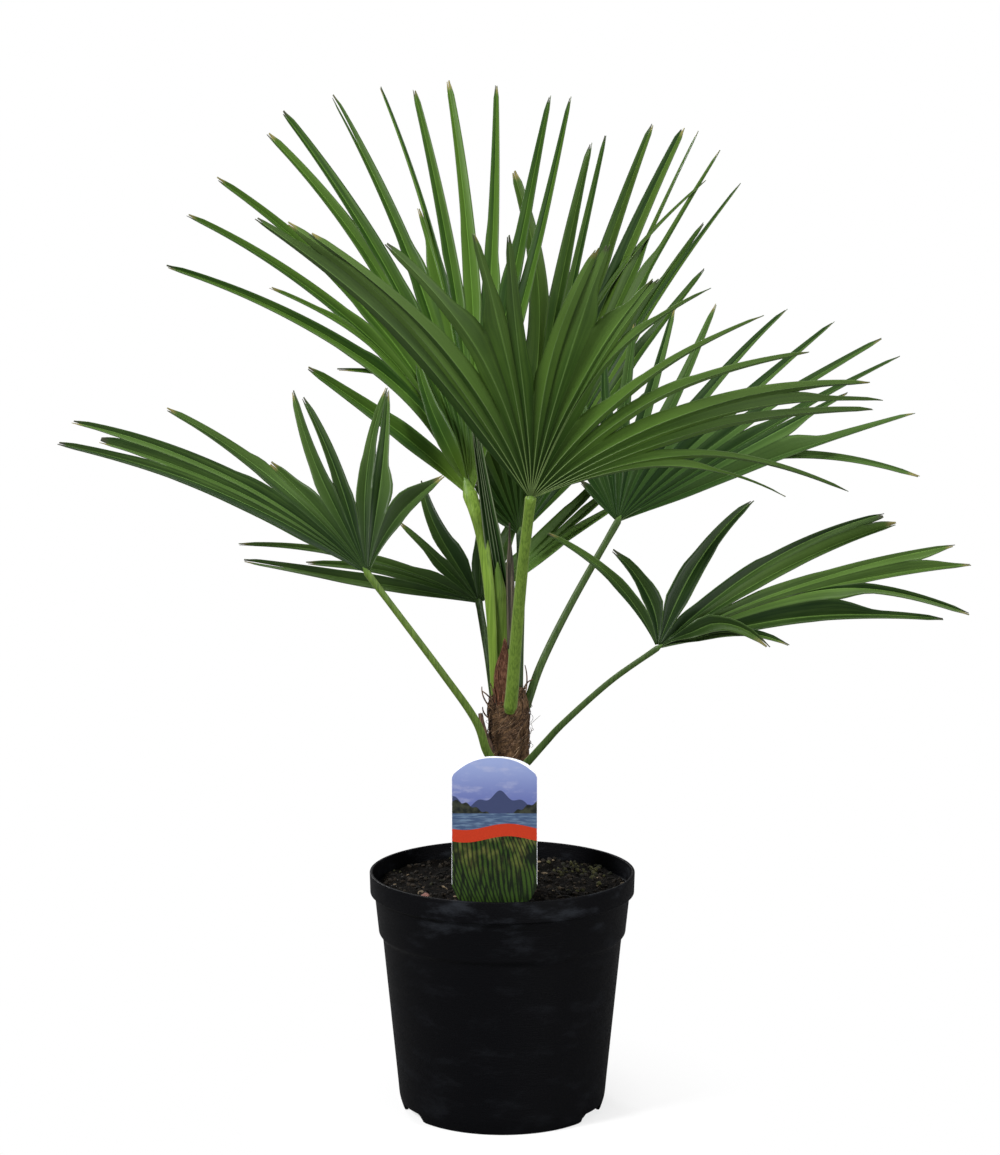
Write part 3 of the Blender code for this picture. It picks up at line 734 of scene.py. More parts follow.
# --- The old leaf base ------------------------------------------------------------------------------
# The dead brown foot of a leaf that was cut off, still held in the fibre on the trunk's left. It is
# dry and streaked, and its torn end stands a little off the stem.
def smooth_path(points, count):
    """A smooth line through the points, by Catmull and Rom's rule."""
    points = [Vector(p) for p in points]
    points = [points[0] * 2 - points[1], *points, points[-1] * 2 - points[-2]]
    spans = len(points) - 3
    line = []
    for k in range(count + 1):
        span = min(int(k * spans / count), spans - 1)
        t = k * spans / count - span
        a, b, c, d = points[span:span + 4]
        line.append(0.5 * (2 * b + (c - a) * t + (2 * a - 5 * b + 4 * c - d) * t ** 2
                           + (3 * b - a - 3 * c + d) * t ** 3))
    return line


def stalk_frames(line, outward):
    """For each point of a line: the point, the way across the stalk, and the way out of its face."""
    frames = []
    for k, point in enumerate(line):
        along = (line[min(k + 1, len(line) - 1)] - line[max(k - 1, 0)]).normalized()
        face = (outward - along * outward.dot(along)).normalized()
        frames.append((point, along.cross(face), face))
    return frames


base_steps, base_sides = 30, 20
base_line = smooth_path((
    (-0.0045, -0.0065, 0.256), (-0.0105, -0.0095, 0.268),
    (-0.0140, -0.0100, 0.280), (-0.0155, -0.0095, 0.289),
), base_steps)
base_rows = []
for k, (point, across, face) in enumerate(stalk_frames(base_line, Vector((-0.6, -0.8, 0)))):
    share = k / base_steps
    width = 0.0040 - 0.0024 * share
    row = []
    for j in range(base_sides):
        turn = math.tau * j / base_sides
        ragged = 1 + 0.22 * noise.noise(Vector((3 * math.cos(turn), 3 * math.sin(turn), share * 6)))
        torn = 0.0016 * noise.noise(Vector((4 * math.cos(turn), 4 * math.sin(turn), 5))) * share ** 6
        side = (across * math.cos(turn) + face * math.sin(turn) * 0.62) * width * ragged
        row.append(point + side + Vector((0, 0, torn)))
    base_rows.append(row)
base_shape = bmesh.new()
closed_tube(base_shape, base_rows)
dead_stalk, dead = new_finish("dead_stalk", roughness=0.8, specular=0.2)
streaks = dead.place().stretched(1, 1, 0.25).grain(700, 4)
dead.feed(
    base_color=streaks.between(0.35, 0.7).blend((0.016, 0.009, 0.006), (0.110, 0.066, 0.042)),
    normal=dead.bump(streaks, 0.0006),
)
base_piece = add_piece("cut_leaf_base", mesh_of("cut_leaf_base", base_shape), "dry_leaf_base", dead_stalk)
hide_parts("old_leaf_base")


# --- The plant label --------------------------------------------------------------------------------
# A printed plastic label with an arched top, pushed into the soil on its stake and leaning back. The
# print is a plain landscape of its own: sky, hills, water, a coral wave and upright leaves below it.
label_low, label_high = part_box("plant_label")
label_lean = math.radians(6)
label_half = (label_high.x - label_low.x) / 2
label_thickness = 0.0007
label_front = -0.0780
label_rise = (label_high.z - soil_level) / math.cos(label_lean)
arch_angle = math.radians(82)
arch_drop = 0.0125
label_outline = []
for k in range(25):
    turn = arch_angle * k / 24
    label_outline.append((0.94 * label_half * math.sin(turn), label_rise - arch_drop * (1 - math.cos(turn))))
label_outline += [(label_half, label_rise - 0.0150), (label_half, label_rise - 0.0172)]
label_outline += [(label_half, 0.0210), (label_half - 0.0008, 0.0170), (label_half - 0.0040, 0.0110)]
label_outline += [(label_half - 0.0085, 0.0055), (label_half - 0.0130, 0.0020), (0.008, -0.005)]
label_outline += [(0.006, -0.019), (0.001, -0.0285)]
label_shape = bmesh.new()
right_side = [label_shape.verts.new((x, y, 0)) for x, y in label_outline]
left_side = [label_shape.verts.new((-x, y, 0)) for x, y in reversed(label_outline) if x > 0]
label_shape.faces.new(right_side + left_side)
bmesh.ops.triangulate(label_shape, faces=label_shape.faces)
bmesh.ops.recalc_face_normals(label_shape, faces=label_shape.faces)
if next(iter(label_shape.faces)).normal.z < 0:
    bmesh.ops.reverse_faces(label_shape, faces=label_shape.faces)

shore = 0.0696
wave_middle, wave_half = 0.0560, 0.0045
ink_edge, wave_edge = 0.0002, 0.0003


def label_print():
    """Sky and hills over water, a coral wave, and upright leaves below it, edged in white."""
    finish, ink = new_finish("label_print", roughness=0.50, specular=0.15)
    label_x, label_y, _ = ink.place().split()
    sky_clouds = ink.place().stretched(1, 2.6, 1).grain(60, 4, 0.6).between(0.50, 0.72)
    sky = label_y.between(0.072, 0.112).blend((0.085, 0.105, 0.270), (0.215, 0.265, 0.450))
    sky = (0.40 * sky_clouds).blend(sky, (0.32, 0.33, 0.44))
    far_line = 0.0795 + 0.004 * (label_x * 150 + 1.0).sine() + 0.002 * (label_x * 410).sine()
    near_line = 0.0735 + 0.005 * (label_x * 95 - 1.9).sine() + 0.0008 * (label_x * 900).sine()
    far_hills = 1 - (label_y - far_line).between(-ink_edge, ink_edge)
    near_hills = 1 - (label_y - near_line).between(-ink_edge, ink_edge)
    hill_tint = ink.place().grain(260, 4).between(0.3, 0.7)
    land = far_hills.blend(sky, (0.030, 0.040, 0.095))
    land = near_hills.blend(land, hill_tint.blend((0.005, 0.007, 0.007), (0.030, 0.034, 0.022)))
    ripples = ink.place().stretched(1, 7, 1).grain(120, 3).between(0.40, 0.68)
    water = ripples.blend((0.035, 0.060, 0.120), (0.090, 0.140, 0.215))
    landscape = (1 - label_y.between(shore - ink_edge, shore + ink_edge)).blend(land, water)
    wave = label_y - wave_middle - 0.0022 * (label_x * 105 + 0.6).sine()
    upright = (label_x * 1150 + label_y * 330 + 2.6 * (label_y * 95 + label_x * 70).sine()).sine().size()
    leaf_glow = label_y.between(0.020, 0.052) * ink.place().grain(90, 2).between(0.40, 0.75)
    leaf_veins = ink.place().stretched(1, 0.15, 1).grain(420, 3).between(0.30, 0.62)
    leaves = (upright * leaf_veins).between(0.05, 0.90).blend((0.0015, 0.005, 0.001), (0.021, 0.047, 0.005))
    leaves = (0.60 * leaf_glow * upright).blend(leaves, (0.20, 0.19, 0.05))
    picture = wave.between(wave_half - wave_edge, wave_half).blend((0.340, 0.024, 0.006), landscape)
    picture = (1 - wave.between(-wave_half, wave_edge - wave_half)).blend(picture, leaves)
    from_middle = label_x.size()
    near_side = from_middle.between(label_half - 0.0003, label_half - 0.0001)
    near_top = label_y + arch_drop * (from_middle / label_half) ** 2.4
    white_edge = near_side.most(near_top.between(label_rise - 0.0012, label_rise - 0.0009))
    ink.feed(base_color=white_edge.blend(picture, (0.78, 0.79, 0.84)))
    return finish


print_back, blank = new_finish("label_back", roughness=0.4, specular=0.4)
blank.feed(base_color=blank.place().grain(40, 3).blend((0.70, 0.70, 0.69), (0.80, 0.80, 0.79)))
label_place = Matrix.Translation(
    ((label_low.x + label_high.x) / 2, label_front - label_thickness / 2, soil_level)
) @ Matrix.Rotation(math.pi / 2 - label_lean, 4, "X")
label_piece = add_piece(
    "picture_label", mesh_of("picture_label", label_shape, smooth=False), "label",
    label_print(), print_back, place=label_place,
)
thicken(label_piece, label_thickness, offset=-1, under=1)
label_edge = label_piece.modifiers.new("Soft edge", "BEVEL")
label_edge.width = 0.00015
label_edge.segments = 2
label_edge.limit_method = "ANGLE"
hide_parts("plant_label")


# --- The leaf stalks --------------------------------------------------------------------------------
# Eight green stalks that come out of the trunk's fibre. Each is round below and flatter above, has a
# thin pale margin on both sides, and ends in a pointed tongue that lies on the leaf's root.
class Stalk(NamedTuple):
    """A stalk through points, with its radius at both ends and how yellow its green is, 0 to 1.

    tongue is how far it goes on past its last point, over the leaf.
    """

    points: tuple
    thick: tuple
    yellow: float
    face: tuple = (0, -1, 0.3)
    tongue: float = 0.005


stalks = {
    "front": Stalk(
        ((0.0052, -0.0165, 0.291), (0.0068, -0.0225, 0.306), (0.0095, -0.0370, 0.345),
         (0.0138, -0.0590, 0.399), (0.0192, -0.0800, 0.4500)),
        (0.0050, 0.0036), 0.75, (0, 1, 0.5), 0.003,
    ),
    "tall": Stalk(
        ((-0.0048, -0.0040, 0.288), (-0.0064, -0.0035, 0.326), (-0.0078, -0.0035, 0.356),
         (-0.0102, -0.0030, 0.385), (-0.0150, 0.0010, 0.417), (-0.0228, 0.0090, 0.4425)),
        (0.0026, 0.0048), 0.95, (0, -1, 0.3), 0.014,
    ),
    "rear": Stalk(
        ((0.0110, 0.0070, 0.288), (0.0120, 0.0100, 0.330), (0.0132, 0.0200, 0.372),
         (0.0130, 0.0330, 0.412)),
        (0.0036, 0.0028), 0.0,
    ),
    "right": Stalk(
        ((0.0125, -0.0010, 0.276), (0.0190, 0.0000, 0.298), (0.0290, 0.0040, 0.325),
         (0.0500, 0.0120, 0.366), (0.0822, 0.0200, 0.4222)),
        (0.0033, 0.0024), 0.12,
    ),
    "low_right": Stalk(
        ((0.0100, -0.0090, 0.246), (0.0180, -0.0180, 0.2555), (0.0301, -0.0240, 0.2705),
         (0.0435, -0.0310, 0.2865), (0.0750, -0.0400, 0.3170), (0.1070, -0.0500, 0.3420)),
        (0.0030, 0.0019), 0.12,
    ),
    "left": Stalk(
        ((-0.0010, -0.0100, 0.246), (-0.0108, -0.0200, 0.2635), (-0.0191, -0.0270, 0.2876),
         (-0.0434, -0.0380, 0.3249), (-0.0932, -0.0500, 0.3947)),
        (0.0034, 0.0022), 0.50,
    ),
    "inner_left": Stalk(
        ((-0.0050, 0.0070, 0.288), (-0.0095, 0.0130, 0.322), (-0.0131, 0.0250, 0.342),
         (-0.0168, 0.0400, 0.361)),
        (0.0029, 0.0025), 0.05,
    ),
    "spear": Stalk(
        ((0.0017, 0.0030, 0.288), (0.0000, 0.0020, 0.335), (-0.0020, 0.0000, 0.372)),
        (0.0056, 0.0050), 0.60, (0, -1, 0.3), 0.024,
    ),
}


def toward(first, second, share):
    """A colour that goes a share of the way from the first to the second."""
    return tuple(a + (b - a) * share for a, b in zip(first, second))


def stalk_finish(name, yellow):
    """Green skin with fine streaks along it, pale margins, and a darker green end on the leaf."""
    finish, green = new_finish(name, roughness=0.45, specular=0.18)
    up = green.node("Attribute", {"attribute_name": "along"}, output="Fac")
    margin = green.node("Attribute", {"attribute_name": "margin"}, output="Fac")
    streaks = green.place().stretched(1, 1, 0.02).grain(900, 2)
    mottle = green.place().grain(40, 2)
    deep = toward((0.008, 0.020, 0.005), (0.070, 0.130, 0.013), yellow)
    pale = toward((0.022, 0.046, 0.012), (0.165, 0.262, 0.035), yellow)
    skin_colour = (0.80 * streaks + 0.06 * mottle + 0.07).between(0.24, 0.70).blend(deep, pale)
    skin_colour = (0.45 * margin.between(0.80, 0.97)).blend(skin_colour, (0.20, 0.25, 0.09))
    skin_colour = (0.80 * up.between(0.98, 1.14)).blend(skin_colour, (0.055, 0.110, 0.016))
    green.feed(base_color=skin_colour, roughness=0.38 + 0.12 * mottle, normal=green.bump(streaks, 0.0002))
    return finish


stalk_steps, tongue_steps, stalk_sides = 60, 9, 20
for name, stalk in stalks.items():
    line = smooth_path(stalk.points, stalk_steps)
    ahead = (line[-1] - line[-2]).normalized()
    line += [line[-1] + ahead * stalk.tongue * k / tongue_steps for k in range(1, tongue_steps + 1)]
    rows = []
    for k, (point, across, face) in enumerate(stalk_frames(line, Vector(stalk.face))):
        share = min(k / stalk_steps, 1)
        radius = stalk.thick[0] + (stalk.thick[1] - stalk.thick[0]) * share
        radius *= 0.72 + 0.28 * ease(share, 0, 0.10)
        radius *= 1 + 0.10 * ease(share, 0.93, 0.99)
        radius *= max(1 - max(k - stalk_steps, 0) / tongue_steps, 0.03) ** 0.7
        row = []
        for j in range(stalk_sides):
            turn = math.tau * j / stalk_sides
            depth = 0.52 if math.sin(turn) > 0 else 0.90
            row.append(point + (across * math.cos(turn) + face * math.sin(turn) * depth) * radius)
        rows.append(row)
    shape = bmesh.new()
    along_layer = shape.verts.layers.float.new("along")
    margin_layer = shape.verts.layers.float.new("margin")
    for k, ring in enumerate(closed_tube(shape, rows)):
        for j, vert in enumerate(ring):
            vert[along_layer] = k / stalk_steps
            vert[margin_layer] = abs(math.cos(math.tau * j / stalk_sides))
    skin_finish = stalk_finish("stalk_" + name, stalk.yellow)
    piece = add_piece("stalk_" + name, mesh_of("stalk_" + name, shape), "petiole", skin_finish)
    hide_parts("petiole_" + name)


# --- The spear's husk -------------------------------------------------------------------------------
# A dull brown strip that the youngest leaf has shed. It is dry, folded like the leaf, and stands in
# front of it with its foot between the stalks.
husk_foot, husk_length = 0.335, 0.0895
husk_width, husk_point, husk_fold = 0.0025, 0.0003, 0.0011
husk_steps = 24
husk_rows = []
for k in range(husk_steps + 1):
    share = k / husk_steps
    width = husk_width * (1 - ease(share, 0.55, 1.0)) + husk_point
    middle = Vector((0.0064 - 0.0014 * share, -0.0075, husk_foot + husk_length * share))
    husk_rows.append([
        middle + Vector((width * (j / 4 - 1), -husk_fold if j % 2 else 0, 0)) for j in range(9)
    ])
husk_shape = bmesh.new()
skin(husk_shape, husk_rows, False)
husk_finish, husk = new_finish("spear_husk", roughness=0.7, specular=0.15)
husk_streaks = husk.place().stretched(1, 1, 0.04).grain(900, 3).between(0.35, 0.65)
husk.feed(
    base_color=husk_streaks.blend((0.018, 0.017, 0.012), (0.090, 0.078, 0.054)),
    normal=husk.bump(husk_streaks, 0.0003),
)
husk_piece = add_piece("spear_husk", mesh_of("spear_husk", husk_shape), "blade", husk_finish)
thicken(husk_piece, 0.0004)


# --- The leaf blades --------------------------------------------------------------------------------
# Eight fans of stiff, pleated, leathery leaf. Each finger is folded to a shallow V along its midrib.
# Neighbours share their upper ridges near the stalk, then split and run on alone to a forked, dry tip.
class Segment(NamedTuple):
    """One finger of a fan. It leaves the hub at start and ends at tip, in degrees from +X in front view.

    joined is how far from the hub it stays joined to the next finger, and width is its share of the
    leaf's usual width. sag bows it sideways, by metres. One with a forward is a loose finger that
    stands that far in front of the fan. fork is how long its two prongs are.
    """

    start: float
    tip: float
    length: float
    joined: float
    width: float = 1.0
    sag: float = 0.0
    forward: float = 0.0
    fork: float = 0.004


class Blade(NamedTuple):
    """lean is how far a blade goes back for each metre up. upper is True where its upper side is in front.

    half_width is from a finger's midrib to its edge, and pleat is how deep its V is. room is how much of
    the way to halfway a free edge may fill beside its neighbour, base is how wide the fan's root is, and
    shift moves the fan from where its stalk ends.
    """

    lean: float
    upper: bool
    half_width: float
    pleat: float
    segments: tuple
    room: float = 1.0
    base: float = 0.0
    shift: tuple = (0, 0, 0)


def fan(*rows):
    """A blade's fingers, from the left, with its loose fingers last."""
    return tuple(Segment(*row) for row in rows)


blades = {
    "front": Blade(-0.55, False, 0.0071, 0.55, fan(
        (125, 133, 0.259, 0.213, 0.90, -0.006), (120, 130, 0.243, 0.195, 0.90, -0.006),
        (109, 128, 0.230, 0.064), (101, 119, 0.195, 0.115, 1.15, -0.004), (96, 102, 0.183, 0.120, 0.95),
        (88, 95, 0.180, 0.073, 0.90, 0.005), (83, 76, 0.172, 0.155, 1.0, 0.006), (79, 74, 0.177, 0.122),
        (75, 62, 0.167, 0.150), (71, 61, 0.171, 0.120), (66, 51, 0.184, 0.060, 0.60, 0.010),
        (59, 40, 0.197, 0.048, 0.75), (48, 30, 0.209, 0.062, 0.85, 0.004),
        (39, 20, 0.239, 0.185, 1.0, 0.002), (33, 16, 0.246, 0.095, 0.85, 0.004),
        (28, 14, 0.240, 0.080, 0.90, 0.004), (26, 1, 0.217, 0.100, 0.60, 0.006),
        (23, -1, 0.176, 0, 0.50, 0.007),
    )),
    "tall": Blade(0.45, True, 0.0061, 0.80, fan(
        (133, 143, 0.146, 0.014, 1.15, 0.002), (106, 143, 0.271, 0.105, 1.0, 0.012),
        (105.5, 135, 0.205, 0.145, 0.50), (105, 136, 0.284, 0.135, 0.85, 0.009),
        (104.5, 130, 0.288, 0.115, 1.0, 0.006), (104, 120, 0.297, 0.160, 1.15),
        (99, 117, 0.305, 0.130, 1.10, 0.006), (96, 110, 0.301, 0.155, 1.0, 0.003, 0, 0.040),
        (94, 101, 0.205, 0.170, 0.75, -0.002), (91, 103, 0.300, 0.140, 0.40, 0.002),
        (88, 98.5, 0.291, 0.125, 0.95, 0.004), (85, 93.5, 0.295, 0.115, 1.05, 0.002),
        (82, 86.5, 0.292, 0.140, 1.0, 0.001), (79, 78.6, 0.290, 0.130, 1.10),
        (76, 75.6, 0.292, 0, 0.85, -0.003), (107, 112, 0.104, 0, 1.10, 0.007, 0.008),
        (101, 137, 0.131, 0, 0.55, 0, -0.012),
    ), room=1.1),
    "rear": Blade(0.60, True, 0.0066, 0.75, fan(
        (148, 146, 0.040, 0.020), (136, 134, 0.050, 0.030), (124, 122, 0.080, 0.045),
        (112, 112, 0.110, 0.080), (104, 103, 0.150, 0.090), (95, 96, 0.150, 0.090),
        (91.5, 91, 0.255, 0.140, 1.55, -0.018), (82, 79, 0.286, 0.150, 1.15),
        (78, 77, 0.292, 0.150, 0.70), (74, 71, 0.312, 0.185, 1.25), (71, 67, 0.318, 0.205, 1.40),
        (69, 65, 0.321, 0.200, 0.45, -0.003), (66, 61, 0.313, 0.180, 0.55),
        (63, 58, 0.260, 0.160, 0.75), (60, 56, 0.298, 0.150, 0.55, 0.002),
        (56, 54, 0.233, 0.080, 1.0, 0.002), (47, 46, 0.140, 0, 0.80),
        (76, 61, 0.289, 0, 0.45, 0.005, 0.003),
    ), room=1.2),
    "right": Blade(0.50, True, 0.0055, 0.85, fan(
        (132, 133, 0.038, 0.015), (120, 120, 0.067, 0.015), (109, 107, 0.095, 0.018),
        (98, 94, 0.118, 0.020), (88, 84, 0.138, 0.022), (79, 74, 0.157, 0.030, 0.90, -0.003),
        (70, 64, 0.169, 0.045, 1.0, -0.005), (58, 50, 0.194, 0.065),
        (47, 42, 0.212, 0.090, 1.15, -0.003), (39, 34, 0.230, 0.100, 0.95),
        (32, 30, 0.234, 0.098, 0.95), (29, 28, 0.188, 0.130, 1.05), (23, 20, 0.225, 0),
        (31, 9, 0.216, 0, 0.85, 0, -0.010),
    ), room=0.88),
    "low_right": Blade(0.50, True, 0.0060, 0.75, fan(
        (112, 135, 0.107, 0.014, 0.70), (82, 116, 0.070, 0.014, 1.15),
        (67, 55, 0.120, 0.014, 1.30, 0.002), (39, 29, 0.182, 0.165, 0.90, 0.004),
        (33, 27, 0.187, 0.045, 0.85, 0.002), (29, 19, 0.217, 0.188, 0.85, -0.002),
        (25, 15, 0.223, 0.130, 0.90), (20, 7, 0.214, 0.128, 0.85, 0.013),
        (15, 7, 0.196, 0, 0.95, 0.002), (33, 2, 0.076, 0, 1.20, -0.005, 0.012),
        (19, 2, 0.090, 0, 0.80, -0.003, 0.006),
    ), room=0.92),
    "left": Blade(0.45, True, 0.0060, 0.75, fan(
        (147, 157, 0.231, 0.160), (143, 154, 0.206, 0.190, 0.75), (139, 153, 0.229, 0.078),
        (131, 142, 0.179, 0.088, 1.05), (125, 132, 0.102, 0.050, 1.10, 0.001),
        (115, 114, 0.133, 0.040, 1.0, 0.004), (110, 112, 0.126, 0.033, 0.90, -0.003),
        (97, 85, 0.127, 0.060, 0.95, 0.001), (84, 84, 0.122, 0.048, 1.0, -0.002),
        (73, 51, 0.083, 0, 1.30),
    ), room=1.05),
    "inner_left": Blade(0.50, True, 0.0058, 0.70, fan(
        (167, 170, 0.172, 0.028, 0.90, 0.002, 0, 0.028), (156, 167, 0.128, 0.030, 0.88),
        (153, 166, 0.178, 0.025, 0.60), (135, 137, 0.081, 0.014, 0.75),
        (116, 117, 0.095, 0.014, 1.40, 0.005), (90, 86, 0.085, 0.020, 0.80), (66, 64, 0.090, 0.020),
        (42, 44, 0.150, 0.060, 1.05), (36, 39, 0.142, 0.070, 1.0, 0.002),
        (30, 35, 0.122, 0, 1.0, 0.004),
    ), room=0.95),
    "spear": Blade(-0.06, True, 0.0028, 1.30, fan(
        (102, 99.5, 0.150, 0.120), (100.3, 99.2, 0.160, 0.120), (98.6, 98.9, 0.157, 0.120),
        (97, 98.6, 0.150, 0),
    ), base=0.0062, shift=(0.0053, 0.0030, -0.0200)),
}
leaf_thickness = 0.00045
leaf_seat = 0.0008
finger_root = 0.0025
station_step, station_count = 0.005, 60
stations = [finger_root] + [station_step * k for k in range(1, station_count)]
row_pitch, fork_pitch = 0.006, 0.004
free_tip = 0.012
rib_radius, rib_pitch, rib_sides = 0.00034, 0.007, 6
# cup is how much a fan bends round across its width. A loose finger leaves it over lift_run.
lift_start, lift_run = 0.010, 0.025
cup = 0.7


def bearing(angle):
    """A direction in the fan's plane, from its angle in degrees."""
    return Vector((math.cos(math.radians(angle)), math.sin(math.radians(angle))))


def midline(blade, segment, distance):
    """A point on a finger's midrib, from the hub. It is a quadratic curve from there to the tip."""
    root = bearing(segment.start)
    straight = lift_start + lift_run if segment.forward else 0
    base = root * straight
    if distance <= straight:
        flat = root * distance
    else:
        rest = bearing(segment.tip) * segment.length - base
        share = (distance - straight) / (segment.length - straight)
        flat = base + root * share * (1 - share) * rest.length + rest * share * share
    way = bearing(segment.tip + 90)
    flat = flat + way * segment.sag * math.sin(math.pi * min(distance / segment.length, 1) ** 1.4)
    if blade.base:
        angles = [other.start for other in blade.segments]
        place = (segment.start - min(angles)) / (max(angles) - min(angles)) - 0.5
        flat.x -= blade.base * place * (1 - ease(distance, 0, 0.12))
    lift = segment.forward * ease(distance, lift_start, lift_start + lift_run)
    bulge = cup * flat.x * flat.x * (-1 if blade.upper else 1)
    return Vector((flat.x, blade.lean * flat.y + bulge - lift, flat.y))


def upper_side(blade, point):
    """The way out of the fan's upper side near a point."""
    if blade.upper:
        return Vector((-2 * cup * point.x, -1, blade.lean)).normalized()
    return Vector((-2 * cup * point.x, 1, -blade.lean)).normalized()


class Finger:
    """A segment with its own small irregularities, and the frame along it."""

    def __init__(self, blade, segment, chance):
        self.blade = blade
        self.segment = segment
        self.length = segment.length
        self.shoulders = {side: chance.uniform(0.42, 0.62) for side in (-1, 1)}
        self.shoulder_drops = {side: chance.uniform(0.0, 0.20) for side in (-1, 1)}
        self.roll = chance.gauss(0.10, 0.16)
        self.drift = chance.gauss(0, 0.005)
        self.sway = chance.uniform(0, math.tau)
        self.short_prong = chance.choice((-1, 1))
        self.prong_loss = chance.uniform(0.0003, 0.0018)
        self.fork = segment.fork * chance.uniform(0.7, 1.4)
        self.gape = chance.uniform(0.15, 0.45)
        self.tones = {side: chance.random() for side in (-1, 1)}

    def centre(self, distance):
        """A point of the midrib, with the finger's own ripple and drift."""
        place = midline(self.blade, self.segment, distance)
        share = distance / self.length
        ripple = 0.0006 * math.sin(self.sway + 11 * share) * ease(share, 0.3, 0.6)
        return place + upper_side(self.blade, place) * (ripple + self.drift * ease(share, 0.35, 1.3))

    def frame(self, distance):
        """The midrib's point, the way toward the next finger in the list, and the upper side's way."""
        here = self.centre(distance)
        along = (self.centre(distance + 0.001) - here).normalized()
        face = upper_side(self.blade, here)
        face = (face - along * face.dot(along)).normalized()
        across = along.cross(face) * (1 if self.blade.upper else -1)
        turn = Matrix.Rotation(self.roll * ease(distance / self.length, 0.35, 1), 3, along)
        return here, turn @ across, turn @ face

    def half_width(self, distance, side):
        """From the midrib to a free edge: a shoulder near the middle, then a long taper."""
        share = distance / self.length
        width = self.blade.half_width * self.segment.width
        shoulder = self.shoulders[side]
        width *= 1 - self.shoulder_drops[side] * ease(share, shoulder, shoulder + 0.06)
        width *= 1 - 0.70 * max(0, (share - 0.42) / 0.58) ** 1.2
        width *= 1 - 0.55 * ease(distance, self.length - 0.010, self.length)
        if self.segment.forward:
            width *= 0.10 + 0.90 * ease(distance, 0.002, 0.045)
        return width


def edge_place(finger, neighbour, side, distance, split):
    """A point of a free edge, which eases away from the neighbour's after their split."""
    here, across, face = finger.frame(distance)
    width = finger.half_width(distance, side)
    way = across * side
    free = 1.0
    if neighbour:
        reach = min(distance, neighbour.length)
        apart = neighbour.centre(reach) - here
        free = ease(distance, split, split + 0.030)
        beyond = ease(distance, neighbour.length - 0.015, neighbour.length + 0.004)
        room = apart.length / 2 * (1 + (finger.blade.room - 1) * free) + beyond
        width = min(apart.length / 2 * (1 - free) + width * free, room)
        way = (apart.normalized() * (1 - free) + way * free).normalized()
    elif not finger.segment.forward:
        width *= 0.05 + 0.95 * ease(distance, -0.01, 0.060)
    return here + way * width + face * (finger.blade.pleat * width + 0.0008 * side * free)


def place_in_half(finger, distance, outer, side, step):
    """A point between the midrib, or the fork's inner edge, and the outer edge."""
    here, across, face = finger.frame(distance)
    inner = here
    fork_start = finger.length - finger.fork
    if distance > fork_start:
        opening = (distance - fork_start) / finger.fork
        inner = here + (outer - here) * finger.gape * opening
        if side == finger.short_prong:
            back = (finger.centre(distance) - finger.centre(distance - 0.001)).normalized()
            inner -= back * finger.prong_loss * opening ** 2
            outer = outer - back * finger.prong_loss * opening ** 2
    width = (outer - here).length
    bow = 0.035 * width * math.sin(math.pi * step)
    return inner + (outer - inner) * step + face * bow


